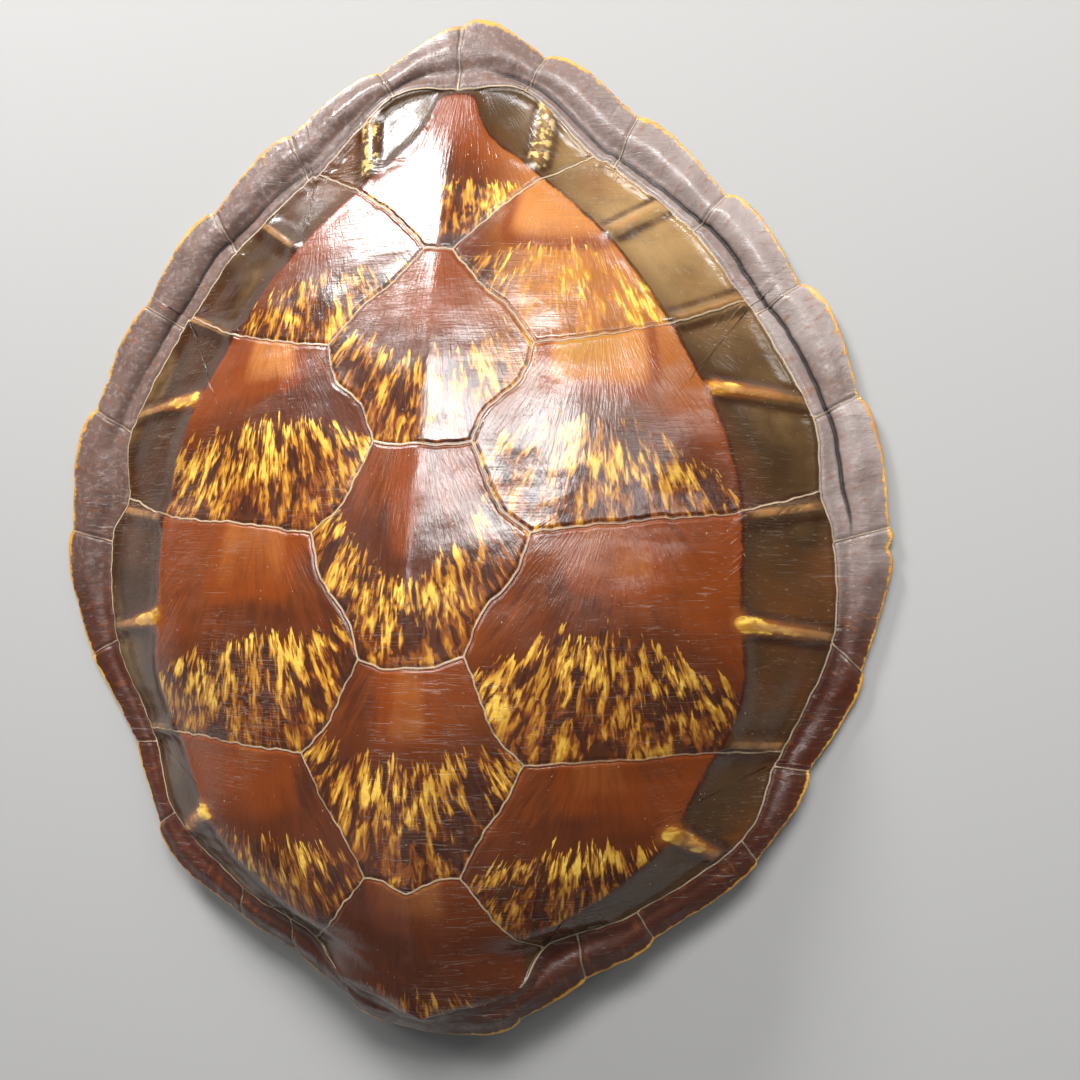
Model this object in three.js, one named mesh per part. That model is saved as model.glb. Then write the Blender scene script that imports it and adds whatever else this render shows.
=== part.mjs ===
// The carapace of a sea turtle: a low keeled dome of bone under horny scutes, dried and varnished.
// Five scutes run down the back, four pairs lie beside them, and a nuchal and twelve pairs of
// marginals make the flared rim. Outside the bone the ribs' ends stand between sunk windows of
// thin horn. It grew as one piece, so it is one closed solid, hollow underneath.
// Millimetres: +x to the shell's right in plan, +y to the tail, +z up, resting on its rim at z = 0.

import * as THREE from 'three';
import { mergeVertices } from 'three/addons/utils/BufferGeometryUtils.js';

// ---- Driving sizes --------------------------------------------------------------------------

const SEAM_STEP = 10.4; // spacing of points along every seam
const LIP = 2.4; // how far a seam's groove reaches into each scute
const GROOVE = 0.9; // depth of a seam
const PUFF = 0.7; // rise of a scute between its seams
const DOME_POWER = 2.05; // 2 would make every cross-section a parabola
const KEEL = { height: 5, spread: 17, round: 4 }; // a soft crest on top of the dome
const WINDOW_SINK = 3; // drop of the thin horn below the bone's level
const RIB = { height: 2.8, spread: 5.5 };
const FOLD = { depth: 2.4, share: 0.24, spread: 0.13 }; // shares of a marginal's width
const RIDGE = { height: 2.6, share: 0.55, spread: 0.24 };
const FULL_FLANGE = 26; // narrower marginals have less of a fold and ridge
const BONE = 5.2; // thickness under the scutes
const HORN = 3.4; // thickness in the windows
const SPINE = { height: 6, spread: 9 };
const UNDER_RIB = { height: 1.8, spread: 8 };
const EDGE = 2.4; // thickness of the rim's free edge
const FOOT = { start: 5, end: 13, wallTop: 27 }; // distances in from the free edge
const HEAD_ARCH_START = -100; // towards the head the rim lifts from here
const SUPPORT = 6.5; // the rim's depth where it clears the ground

// Height of the keel's line along the back, as [y, z].
const KEEL_LINE = [
  [212, 15], [165, 31], [119, 48], [70, 62], [21, 74], [-30, 85],
  [-77, 91], [-120, 90], [-173, 82], [-205, 71], [-237, 55],
];

// ---- Plan of the seams ----------------------------------------------------------------------

// Points on the midline, from tail to head.
const MIDLINE = {
  tail: [0, 249], back5: [0, 212], back54: [0, 119], back43: [0, 22],
  back32: [0, -77], back21: [0, -174], neck: [0, -236], head: [0, -249],
};

// Junctions beside the midline, [right x, y, left x, y]. i points lie on the marginals' inner seam
// and o points on the free edge; i9 and o9 end the seam between marginals 9 and 8.
const PAIRS = {
  v5c4: [70, 174, -74, 173], v45: [7, 119, -7, 120], c43: [48, 71, -52, 73], v43: [23, 23, -23, 24],
  c32: [51, -18, -50, -18], v32: [25, -72, -22, -74], c21: [50, -118, -50, -116],
  v21: [23, -167, -20, -169], v1c1: [53, -206, -56, -207],
  rim43: [144, 99, -144, 101], rim32: [179, 6, -178, 5], rim21: [161, -117, -160, -115],
  i12: [35, 209, -34, 211], i11: [80, 168, -80, 170], i10: [119, 134, -120, 134],
  i9: [149, 92, -149, 95], i8: [176, 41, -178, 40], i7: [185, -18, -187, -18],
  i6: [184, -66, -182, -70], i5: [157, -124, -156, -122], i4: [142, -157, -140, -156],
  i3: [95, -189, -97, -188], i2: [68, -199, -70, -200], i1: [40, -224, -38, -223],
  o12: [44, 229, -44, 227], o11: [91, 195, -93, 197], o10: [135, 153, -135, 158],
  o9: [170, 107, -173, 109], o8: [197, 52, -201, 53], o7: [211, -11, -212, -12],
  o6: [198, -79, -198, -78], o5: [173, -126, -169, -123], o4: [149, -167, -151, -163],
  o3: [102, -203, -101, -204], o2: [71, -222, -71, -218], o1: [41, -241, -42, -236],
};

// Inner seam of the marginals and the free edge, each from tail to head.
const RIM_SEAM = ['back5', 'i12', 'v5c4', 'i11', 'i10', 'rim43', 'i9', 'i8', 'rim32', 'i7', 'i6',
  'rim21', 'i5', 'i4', 'i3', 'i2', 'v1c1', 'i1', 'neck'];
const FREE_EDGE = ['tail', 'o12', 'o11', 'o10', 'o9', 'o8', 'o7', 'o6', 'o5', 'o4', 'o3', 'o2', 'o1', 'head'];
// How far each marginal's edge swells out, [right, left], from the tail's pair to the nuchal.
const SWELL = [
  [8, 3.5], [6, 5], [4.5, 5], [6, 6.5], [7.5, 4.5], [5, 7], [4.5, 5.5],
  [3.5, 1], [3.5, 1], [3, 6], [2.5, 1], [1.5, 1], [4.5, 4.5],
];

// The other seams, with how far each bows to its left at a third and at two thirds of its length,
// written for the right-hand side and mirrored.
const SEAMS = [
  ['v5c4', 'v45', -4, -4], ['v45', 'c43', -1, 2], ['c43', 'v43', 4, -2], ['v43', 'c32', -3, -5],
  ['c32', 'v32', 3, -2], ['v32', 'c21', -2, -4], ['c21', 'v21', 1, -1], ['v21', 'v1c1', -1, -2],
  ['c43', 'rim43', -4, -5], ['c32', 'rim32', -2, -5], ['c21', 'rim21', 1, 2],
  ['v45', 'back54', 0, 0], ['v43', 'back43', 1, 1], ['v32', 'back32', 1, 2], ['v21', 'back21', -2, -1],
];

// Outlines of the scutes by junction; the back's and the nuchal give their right-hand half.
const BACK_SCUTES = [
  ['back5', 'i12', 'v5c4', 'v45', 'back54'],
  ['back54', 'v45', 'c43', 'v43', 'back43'],
  ['back43', 'v43', 'c32', 'v32', 'back32'],
  ['back32', 'v32', 'c21', 'v21', 'back21'],
  ['back21', 'v21', 'v1c1', 'i1', 'neck'],
];
const SIDE_SCUTES = [
  ['v5c4', 'i11', 'i10', 'rim43', 'c43', 'v45'],
  ['rim43', 'i9', 'i8', 'rim32', 'c32', 'v43', 'c43'],
  ['rim32', 'i7', 'i6', 'rim21', 'c21', 'v32', 'c32'],
  ['rim21', 'i5', 'i4', 'i3', 'i2', 'v1c1', 'v21', 'c21'],
];
const MARGINALS = [
  ['back5', 'tail', 'o12', 'i12'], ['i12', 'o12', 'o11', 'i11', 'v5c4'], ['i11', 'o11', 'o10', 'i10'],
  ['i10', 'o10', 'o9', 'i9', 'rim43'], ['i9', 'o9', 'o8', 'i8'], ['i8', 'o8', 'o7', 'i7', 'rim32'],
  ['i7', 'o7', 'o6', 'i6'], ['i6', 'o6', 'o5', 'i5', 'rim21'], ['i5', 'o5', 'o4', 'i4'],
  ['i4', 'o4', 'o3', 'i3'], ['i3', 'o3', 'o2', 'i2'], ['i2', 'o2', 'o1', 'i1', 'v1c1'],
];
const NUCHAL = ['neck', 'i1', 'o1', 'head'];

// Edge of the bone plates inside the windows, on the right-hand side from tail to head.
const BONE_EDGE = [
  [0, 209], [10, 207], [19, 185], [36, 167], [70, 137], [96, 105], [117, 70], [133, 36], [142, 0],
  [142, -50], [142, -92], [126, -124], [108, -155], [80, -180], [48, -198], [0, -222],
];
// Each rib on the right-hand side: where it leaves the spine, leaves the bone and meets the rim.
const RIBS = [
  [[8, 150], [43, 168], [47, 205]], [[8, 122], [80, 130], [106, 149]], [[8, 84], [108, 84], [146, 101]],
  [[8, 42], [130, 53], [177, 49]], [[8, -8], [142, -8], [186, 0]], [[8, -58], [140, -57], [184, -63]],
  [[8, -110], [136, -112], [165, -115]], [[8, -150], [104, -145], [130, -162]],
];

// ---- Curves ---------------------------------------------------------------------------------

const HUB = new THREE.Vector2(0, -10); // bearings round the shell are taken from here
const BEARINGS = 720;

function junction(name, side) {
  if (MIDLINE[name]) return new THREE.Vector2(...MIDLINE[name]);
  const [rightX, rightY, leftX, leftY] = PAIRS[name];
  return side > 0 ? new THREE.Vector2(rightX, rightY) : new THREE.Vector2(leftX, leftY);
}

// Moves a point of the chord from a to b sideways, to the left of the way it runs on the right side.
function offChord(a, b, share, bow, side) {
  const along = b.clone().sub(a).normalize();
  const left = new THREE.Vector2(-along.y, along.x).multiplyScalar(bow * side);
  return a.clone().lerp(b, share).add(left);
}

function smoothThrough(points, steps) {
  return new THREE.SplineCurve(points).getPoints(steps);
}

const steps = (length) => Math.max(1, Math.round(length / SEAM_STEP));

const pinned = (points, a, b) => [a, ...points.slice(1, -1), b];

// A marginal's free edge: it steps out at the tail end and runs in to the next seam.
function swollenEdge(a, b, swell, side, count) {
  const points = Array.from({ length: count + 1 }, (_, i) => {
    const share = i / count;
    return offChord(a, b, share, swell * Math.sin(Math.PI * share ** 0.6), side);
  });
  return pinned(points, a, b);
}

// All seams as lists of points, kept under 'from|to|side'.
const seams = new Map();

function keepSeam(from, to, side, points) {
  seams.set(`${from}|${to}|${side}`, points);
  seams.set(`${to}|${from}|${side}`, points.slice().reverse());
}

// Points of a seam; one that was not laid out is straight.
function seamPoints(from, to, side) {
  const key = `${from}|${to}|${side}`;
  if (!seams.has(key)) {
    const a = junction(from, side);
    const b = junction(to, side);
    const count = steps(a.distanceTo(b));
    keepSeam(from, to, side, Array.from({ length: count + 1 }, (_, i) => a.clone().lerp(b, i / count)));
  }
  return seams.get(key);
}

function layOutSeams(side) {
  for (const [from, to, bowFirst, bowSecond] of SEAMS) {
    const a = junction(from, side);
    const b = junction(to, side);
    const middle = [offChord(a, b, 1 / 3, bowFirst, side), offChord(a, b, 2 / 3, bowSecond, side)];
    keepSeam(from, to, side, smoothThrough([a, ...middle, b], steps(a.distanceTo(b) * 1.03)));
  }
  const nodes = RIM_SEAM.map((name) => junction(name, side));
  const spline = new THREE.SplineCurve(nodes);
  const stretches = nodes.length - 1;
  for (let i = 0; i < stretches; i++) {
    const count = steps(nodes[i].distanceTo(nodes[i + 1]));
    const points = Array.from({ length: count + 1 }, (_, k) => spline.getPoint((i + k / count) / stretches));
    keepSeam(RIM_SEAM[i], RIM_SEAM[i + 1], side, pinned(points, nodes[i], nodes[i + 1]));
  }
  for (let i = 0; i + 1 < FREE_EDGE.length; i++) {
    // Both sides take the right one's count of points, so that the underside's rows meet on the spine.
    const count = steps(junction(FREE_EDGE[i], 1).distanceTo(junction(FREE_EDGE[i + 1], 1))) + 1;
    const ends = [junction(FREE_EDGE[i], side), junction(FREE_EDGE[i + 1], side)];
    const swell = SWELL[i][side > 0 ? 0 : 1];
    keepSeam(FREE_EDGE[i], FREE_EDGE[i + 1], side, swollenEdge(...ends, swell, side, count));
  }
}

[1, -1].forEach(layOutSeams);

// The points of a chain of junctions, without the last.
function chain(names, side) {
  return names.slice(0, -1).flatMap((name, i) => seamPoints(name, names[i + 1], side).slice(0, -1));
}

// A closed loop: down the right-hand side and back up the left.
function bothSides(names) {
  const left = chain([...names].reverse(), -1);
  return [...chain(names, 1), ...left];
}

// Distance from the hub to a loop on every bearing.
function reachTable(loop) {
  const polar = loop.map((p) => ({ angle: Math.atan2(p.y - HUB.y, p.x - HUB.x), reach: p.distanceTo(HUB) }));
  polar.sort((a, b) => a.angle - b.angle);
  const first = polar[0];
  const last = polar[polar.length - 1];
  polar.unshift({ angle: last.angle - 2 * Math.PI, reach: last.reach });
  polar.push({ angle: first.angle + 2 * Math.PI, reach: first.reach });
  const table = [];
  let k = 0;
  for (let i = 0; i <= BEARINGS; i++) {
    const angle = -Math.PI + (2 * Math.PI * i) / BEARINGS;
    while (polar[k + 1].angle < angle) k++;
    const share = (angle - polar[k].angle) / (polar[k + 1].angle - polar[k].angle);
    table.push(THREE.MathUtils.lerp(polar[k].reach, polar[k + 1].reach, share));
  }
  return (bearing) => {
    const place = ((bearing + Math.PI) / (2 * Math.PI)) * BEARINGS;
    const i = Math.min(Math.floor(place), BEARINGS - 1);
    return THREE.MathUtils.lerp(table[i], table[i + 1], place - i);
  };
}

const mirrored = (points) => points.map(([x, y]) => new THREE.Vector2(-x, y));
const boneRight = smoothThrough(BONE_EDGE.map(([x, y]) => new THREE.Vector2(x, y)), 90);
const boneLeft = smoothThrough(mirrored(BONE_EDGE), 90).reverse();
const reachOfBone = reachTable([...boneRight, ...boneLeft.slice(1, -1)]);
const reachOfSeam = reachTable(bothSides(RIM_SEAM));
const reachOfEdge = reachTable(bothSides(FREE_EDGE));
const seamHalves = { 1: chain(RIM_SEAM, 1), '-1': chain(RIM_SEAM, -1) };

// Distance from the midline to the marginals' inner seam.
function halfWidth(y, side) {
  const points = seamHalves[side];
  for (let i = 0; i + 1 < points.length; i++) {
    const a = points[i];
    const b = points[i + 1];
    if (a.y >= y && y > b.y) return Math.abs(THREE.MathUtils.lerp(a.x, b.x, (a.y - y) / (a.y - b.y)));
  }
  return 0;
}

// ---- Heights --------------------------------------------------------------------------------

const { smoothstep, clamp, lerp } = THREE.MathUtils;
const keelCurve = new THREE.SplineCurve(KEEL_LINE.map(([y, z]) => new THREE.Vector2(y, z)));
const keelPoints = keelCurve.getPoints(120);
const bump = (distance, spread) => Math.exp(-((distance / spread) ** 2));

function keelHeight(y) {
  for (let i = 0; i + 1 < keelPoints.length; i++) {
    const a = keelPoints[i];
    const b = keelPoints[i + 1];
    if (a.x >= y && y >= b.x) return lerp(a.y, b.y, (a.x - y) / (a.x - b.x));
  }
  return y > 0 ? keelPoints[0].y : keelPoints[keelPoints.length - 1].y;
}

// How far along the arch over the neck a place lies, from 0 at the sides to 1 at its crown.
const arch = (y, crown) => clamp((HEAD_ARCH_START - y) / (HEAD_ARCH_START - crown), 0, 1);
const seamHeight = (y) => 8 + 7 * clamp(y / 211, 0, 1) ** 2 + 47 * arch(y, -237) ** 1.5;
const edgeHeight = (y) => 5 + 2.5 * clamp((y - 60) / 190, 0, 1) + 29 * arch(y, -250) ** 1.3;

function distanceToPath(x, y, path) {
  let least = Infinity;
  for (let i = 0; i + 1 < path.length; i++) {
    const [ax, ay] = path[i];
    const [bx, by] = path[i + 1];
    const along = (x - ax) * (bx - ax) + (y - ay) * (by - ay);
    const share = clamp(along / ((bx - ax) ** 2 + (by - ay) ** 2), 0, 1);
    least = Math.min(least, Math.hypot(x - lerp(ax, bx, share), y - lerp(ay, by, share)));
  }
  return least;
}

// Distance to the nearest rib, taken from its given point outwards; both sides share the same ribs.
function nearestRib(x, y, from) {
  return Math.min(...RIBS.map((rib) => distanceToPath(Math.abs(x), y, rib.slice(from))));
}

// Where a place lies: its share of the way from the bone's edge to the marginals' inner seam, its
// share of the way from there to the free edge, and the marginals' width at that bearing.
function place(x, y) {
  const bearing = Math.atan2(y - HUB.y, x - HUB.x);
  const reach = Math.hypot(x - HUB.x, y - HUB.y);
  const bone = reachOfBone(bearing);
  const seam = reachOfSeam(bearing);
  const edge = reachOfEdge(bearing);
  const width = edge - seam;
  return { window: (reach - bone) / (seam - bone), flange: (reach - seam) / width, width };
}

function dome(x, y) {
  const width = halfWidth(y, x >= 0 ? 1 : -1);
  const across = width > 0 ? Math.min(Math.abs(x) / width, 1) : 1;
  const height = keelHeight(y) - seamHeight(y);
  const crest = KEEL.height * smoothstep(height, 0, 40);
  const crestShape = Math.exp((KEEL.round - Math.hypot(x, KEEL.round)) / KEEL.spread) * (1 - across);
  return seamHeight(y) + (height - crest) * (1 - across ** DOME_POWER) + crest * crestShape;
}

// 1 in the middle of a window of thin horn, 0 on the bone and along the rim seam.
function windowDepth(share) {
  return smoothstep(share, 0, 0.2) * (1 - smoothstep(share, 0.86, 1));
}

// A marginal dips in a fold beside its seam, stands up in a ridge and runs down to its edge.
function flange(share, y, width) {
  const fold = -FOLD.depth * bump(share - FOLD.share, FOLD.spread);
  const ridge = RIDGE.height * bump(share - RIDGE.share, RIDGE.spread);
  const fade = smoothstep(share, 0, 0.12) * (1 - share ** 6) * Math.min(width / FULL_FLANGE, 1) ** 2;
  return lerp(seamHeight(y), edgeHeight(y), share) + (fold + ridge) * fade;
}

function topHeight(x, y) {
  const { window: share, flange: out, width } = place(x, y);
  if (out > 0) return flange(Math.min(out, 1), y, width);
  const rib = RIB.height * bump(nearestRib(x, y, 1), RIB.spread);
  const depth = windowDepth(share);
  return dome(x, y) - WINDOW_SINK * depth + rib * depth;
}

function underHeight(x, y) {
  const { window: share, flange: out, width } = place(x, y);
  if (out > 0) return flange(Math.min(out, 1), y, width) - BONE;
  const depth = windowDepth(share);
  const bone = lerp(BONE, WINDOW_SINK + HORN, depth);
  const ribs = UNDER_RIB.height * bump(nearestRib(x, y, 0), UNDER_RIB.spread);
  const spine = SPINE.height * bump(x, SPINE.spread) * smoothstep(180 - Math.abs(y), 0, 50);
  return dome(x, y) - bone - Math.max(ribs, spine);
}

// ---- Mesh -----------------------------------------------------------------------------------

const corners = [];

function triangle(a, b, c) {
  corners.push(a.x, a.y, a.z, b.x, b.y, b.z, c.x, c.y, c.z);
}

// Joins two rows of the same length; outer and inner run anticlockwise seen from outside.
function strip(outer, inner) {
  for (let i = 0; i + 1 < outer.length; i++) {
    triangle(outer[i], outer[i + 1], inner[i + 1]);
    triangle(outer[i], inner[i + 1], inner[i]);
  }
}

const signedArea = (loop) => loop.reduce((sum, p, i) => sum + p.cross(loop[(i + 1) % loop.length]), 0) / 2;

function centroid(loop) {
  const centre = new THREE.Vector2();
  let total = 0;
  loop.forEach((p, i) => {
    const next = loop[(i + 1) % loop.length];
    const weight = p.cross(next);
    total += weight;
    centre.addScaledVector(p.clone().add(next), weight);
  });
  return centre.divideScalar(3 * total);
}

// Share of the way to the centre at which a scute's surface has left the groove.
function lipShare(before, point, after, centre) {
  const along = after.clone().sub(before).normalize();
  const inward = new THREE.Vector2(-along.y, along.x);
  const toCentre = centre.clone().sub(point);
  const square = Math.max(toCentre.dot(inward), LIP);
  return Math.min(LIP / square, 0.25);
}

// One scute as rings that close in on its centre: groove, lip, then the rings' shares of the way.
function scute(loopPoints, isFree, ringShares) {
  const loop = signedArea(loopPoints) > 0 ? loopPoints : loopPoints.slice().reverse();
  const centre = centroid(loop);
  const top = (p, lift) => new THREE.Vector3(p.x, p.y, topHeight(p.x, p.y) + lift);
  const count = loop.length;
  const lips = loop.map((p, i) => lipShare(loop[(i + count - 1) % count], p, loop[(i + 1) % count], centre));
  const groove = loop.map((p) => (isFree(p) ? freeEdgePoint(p) : top(p, -GROOVE)));
  const rings = [groove, loop.map((p, i) => top(p.clone().lerp(centre, lips[i]), 0))];
  for (const share of ringShares) {
    const lift = PUFF * Math.sin((share * Math.PI) / 2);
    rings.push(loop.map((p, i) => top(p.clone().lerp(centre, lerp(lips[i], 1, share)), lift)));
  }
  const closed = rings.map((ring) => [...ring, ring[0]]);
  for (let i = 0; i + 1 < closed.length; i++) strip(closed[i], closed[i + 1]);
  const inner = closed[closed.length - 1];
  const crown = top(centre, PUFF);
  for (let i = 0; i < count; i++) triangle(inner[i], inner[i + 1], crown);
}

const freePoints = new Set([1, -1].flatMap((side) => [...chain(FREE_EDGE, side), junction('head', side)])
  .map((p) => `${p.x},${p.y}`));
const onFreeEdge = (p) => freePoints.has(`${p.x},${p.y}`);
const freeEdgePoint = (p) => new THREE.Vector3(p.x, p.y, edgeHeight(p.y));
const neverFree = () => false;

const BACK_RINGS = [0.22, 0.48, 0.76];
const SIDE_RINGS = [0.18, 0.4, 0.66];
const RIM_RINGS = [0.5];

function scutes() {
  for (const names of BACK_SCUTES) scute(bothSides(names), neverFree, BACK_RINGS);
  for (const side of [1, -1]) {
    for (const names of SIDE_SCUTES) scute(chain([...names, names[0]], side), neverFree, SIDE_RINGS);
    for (const names of MARGINALS) scute(chain([...names, names[0]], side), onFreeEdge, RIM_RINGS);
  }
  scute(bothSides(NUCHAL), onFreeEdge, RIM_RINGS);
}

// The underside: rows that run in from the free edge to the spine, the same count on both sides.
const SPINE_ENDS = { tail: 165, head: -175 };
const UNDER_SHARES = [0.1, 0.22, 0.38, 0.57, 0.78, 1];

function underRows(side) {
  const edge = [...chain(FREE_EDGE, side), junction('head', side)];
  const last = edge.length - 1;
  return edge.map((p, i) => {
    const spine = new THREE.Vector2(0, lerp(SPINE_ENDS.tail, SPINE_ENDS.head, i / last));
    const inward = spine.clone().sub(p);
    const length = inward.length();
    const at = (distance) => p.clone().addScaledVector(inward, distance / length);
    const ground = Math.max(0, edgeHeight(p.y) - SUPPORT);
    const on = (q, z) => new THREE.Vector3(q.x, q.y, z);
    const row = [
      freeEdgePoint(p),
      on(p, Math.max(edgeHeight(p.y) - EDGE, 0)),
      on(at(FOOT.start), ground),
      on(at(FOOT.end), ground),
    ];
    const wallTop = at(FOOT.wallTop);
    row.push(on(wallTop, underHeight(wallTop.x, wallTop.y)));
    for (const share of UNDER_SHARES) {
      const q = wallTop.clone().lerp(spine, share);
      row.push(on(q, underHeight(q.x, q.y)));
    }
    return row;
  });
}

function underside() {
  const right = underRows(1);
  for (let i = 0; i + 1 < right.length; i++) strip(right[i + 1], right[i]);
  const left = underRows(-1);
  for (let i = 0; i + 1 < left.length; i++) strip(left[i], left[i + 1]);
}

scutes();
underside();

const welded = new THREE.BufferGeometry();
welded.setAttribute('position', new THREE.Float32BufferAttribute(corners, 3));
const geometry = mergeVertices(welded, 1e-3);
geometry.computeVertexNormals();
geometry.computeBoundingBox();
const middle = geometry.boundingBox.getCenter(new THREE.Vector3());

const horn = new THREE.MeshStandardMaterial({ color: 0x6b3216, roughness: 0.28, metalness: 0 });
const carapace = new THREE.Mesh(geometry, horn);
carapace.name = 'carapace';
carapace.position.set(-middle.x, -middle.y, 0); // the frame's origin is under the middle of the shell

const shell = new THREE.Group();
shell.add(carapace);

export default shell;
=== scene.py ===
"""A sea turtle's shell, dried and varnished: bone under horny scutes, grown as one piece.

The shell's plan is a network of seams. The rim is a ribbon between the marginals' inner seam and
the free edge, each scute inside it is a set of rings that close in on its middle, and the underside
runs in rows from the free edge to the spine. Plan tables are in millimetres, +y to the tail;
objects are in metres, in the frame's place.
"""

from types import SimpleNamespace

import bpy
import numpy as np
from mathutils import Matrix, Vector


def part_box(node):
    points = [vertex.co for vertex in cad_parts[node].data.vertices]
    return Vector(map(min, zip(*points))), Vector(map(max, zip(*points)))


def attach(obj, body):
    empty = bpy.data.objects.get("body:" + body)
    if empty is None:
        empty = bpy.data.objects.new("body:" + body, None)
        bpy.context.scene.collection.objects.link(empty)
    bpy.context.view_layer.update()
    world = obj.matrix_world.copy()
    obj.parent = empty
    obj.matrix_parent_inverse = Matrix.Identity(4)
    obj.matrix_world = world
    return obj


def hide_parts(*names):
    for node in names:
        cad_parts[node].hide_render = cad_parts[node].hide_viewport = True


bl_info = {
    "name": "Sea turtle shell",
    "version": (1, 0, 0),
    "blender": (4, 5, 0),
    "location": "View3D > Sidebar > Shell",
    "description": "Builds a varnished sea turtle shell with its seams, windows and flames",
    "category": "Add Mesh",
}

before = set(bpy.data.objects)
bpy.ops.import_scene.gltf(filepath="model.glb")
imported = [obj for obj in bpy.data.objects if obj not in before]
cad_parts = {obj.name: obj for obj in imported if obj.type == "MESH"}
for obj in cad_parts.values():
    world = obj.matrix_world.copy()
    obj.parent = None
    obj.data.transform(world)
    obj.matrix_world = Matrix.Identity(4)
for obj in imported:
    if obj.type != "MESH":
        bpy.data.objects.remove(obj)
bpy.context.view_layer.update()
MM = 0.001

# ---- Plan of the seams, in millimetres ----

# Points on the midline, from tail to head.
MIDLINE = {
    "tail": (0, 249), "back5": (0, 212), "back54": (0, 119), "back43": (0, 22),
    "back32": (0, -77), "back21": (0, -174), "neck": (0, -236), "head": (0, -249),
}
# Junctions beside the midline, (right x, y, left x, y). i points lie on the marginals' inner seam
# and o points on the free edge; i9 and o9 end the seam between marginals 9 and 8.
PAIRS = {
    "v5c4": (70, 174, -74, 173), "v45": (7, 119, -7, 120), "c43": (48, 71, -52, 73),
    "v43": (23, 23, -23, 24), "c32": (51, -18, -50, -18), "v32": (25, -72, -22, -74),
    "c21": (50, -118, -50, -116), "v21": (23, -167, -20, -169), "v1c1": (53, -206, -56, -207),
    "rim43": (144, 99, -144, 101), "rim32": (179, 6, -178, 5), "rim21": (161, -117, -160, -115),
    "i12": (35, 209, -34, 211), "i11": (80, 168, -80, 170), "i10": (119, 134, -120, 134),
    "i9": (149, 92, -149, 95), "i8": (176, 41, -178, 40), "i7": (185, -18, -187, -18),
    "i6": (184, -66, -182, -70), "i5": (157, -124, -156, -122), "i4": (142, -157, -140, -156),
    "i3": (95, -189, -97, -188), "i2": (68, -199, -70, -200), "i1": (40, -224, -38, -223),
    "o12": (44, 229, -44, 227), "o11": (91, 195, -93, 197), "o10": (135, 153, -135, 158),
    "o9": (170, 107, -173, 109), "o8": (197, 52, -201, 53), "o7": (211, -11, -212, -12),
    "o6": (198, -79, -198, -78), "o5": (173, -126, -169, -123), "o4": (149, -167, -151, -163),
    "o3": (102, -203, -101, -204), "o2": (71, -222, -71, -218), "o1": (41, -241, -42, -236),
}
# The marginals' inner seam and the free edge, each from tail to head.
RIM_SEAM = (
    "back5 i12 v5c4 i11 i10 rim43 i9 i8 rim32 i7 i6 rim21 i5 i4 i3 i2 v1c1 i1 neck".split()
)
FREE_EDGE = "tail o12 o11 o10 o9 o8 o7 o6 o5 o4 o3 o2 o1 head".split()
# How far each marginal's edge swells out, (right, left), from the tail's pair to the nuchal.
SWELL = [
    (8, 3.5), (6, 5), (4.5, 5), (6, 6.5), (7.5, 4.5), (5, 7), (4.5, 5.5),
    (3.5, 1), (3.5, 1), (3, 6), (2.5, 1), (1.5, 1), (4.5, 4.5),
]
# The other seams, with how far each bows to its left at a third and at two thirds of its length,
# written for the right-hand side and mirrored.
SEAMS = [
    ("v5c4", "v45", -4, -4), ("v45", "c43", -1, 2), ("c43", "v43", 4, -2), ("v43", "c32", -3, -5),
    ("c32", "v32", 3, -2), ("v32", "c21", -2, -4), ("c21", "v21", 1, -1), ("v21", "v1c1", -1, -2),
    ("c43", "rim43", -4, -5), ("c32", "rim32", -2, -5), ("c21", "rim21", 1, 2),
    ("v45", "back54", 0, 0), ("v43", "back43", 1, 1), ("v32", "back32", 1, 2),
    ("v21", "back21", -2, -1),
]
# Scutes of the back and the sides: outline, growth centre, then the flames' front as the distance
# towards the head where it starts, its lean and its bend across, how bright the flames are, and the
# size (half width, length) of the clear block below the growth centre and how amber it is.
BACK_SCUTES = {
    "back_5": ("back5 i12 v5c4 v45 back54", (4, 212), (55, 0.03, 0.002), 0.85, (14, 40, 0.35)),
    "back_4": ("back54 v45 c43 v43 back43", (1, 119), (55, 0.0, -0.010), 0.85, (9, 40, 0.3)),
    "back_3": ("back43 v43 c32 v32 back32", (-4, 22), (61, 0.0, -0.030), 0.9, (9, 56, 0.5)),
    "back_2": ("back32 v32 c21 v21 back21", (1, -77), (42, 0.0, -0.006), 0.8, (13, 38, 0.52)),
    "back_1": ("back21 v21 v1c1 i1 neck", (0, -174), (52, 0.0, 0.0), 0.0, (22, 18, 0.66)),
}
SIDE_SCUTES = {
    "side_4": (
        "v5c4 i11 i10 rim43 c43 v45",
        ((55, 153), (33, 0.1, 0.007), 0.95, (26, 30, 0.84)),
        ((-70, 152), (45, 0.2, 0.002), 0.85, (20, 26, 0.35)),
    ),
    "side_3": (
        "rim43 i9 i8 rim32 c32 v43 c43",
        ((78, 76), (42, 0.12, 0.007), 0.85, (27, 30, 1.0)),
        ((-83, 80), (45, 0.05, 0.003), 1.0, (19, 28, 0.8)),
    ),
    "side_2": (
        "rim32 i7 i6 rim21 c21 v32 c32",
        ((87, -15), (48, 0.1, 0.008), 1.0, (22, 30, 0.62)),
        ((-81, -15), (53, 0.2, 0.002), 1.0, (25, 34, 0.58)),
    ),
    "side_1": (
        "rim21 i5 i4 i3 i2 v1c1 v21 c21",
        ((81, -117), (38, 0.0, 0.004), 0.85, (18, 24, 0.6)),
        ((-73, -113), (45, 0.0, 0.0), 0.5, (22, 34, 0.42)),
    ),
}
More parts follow.
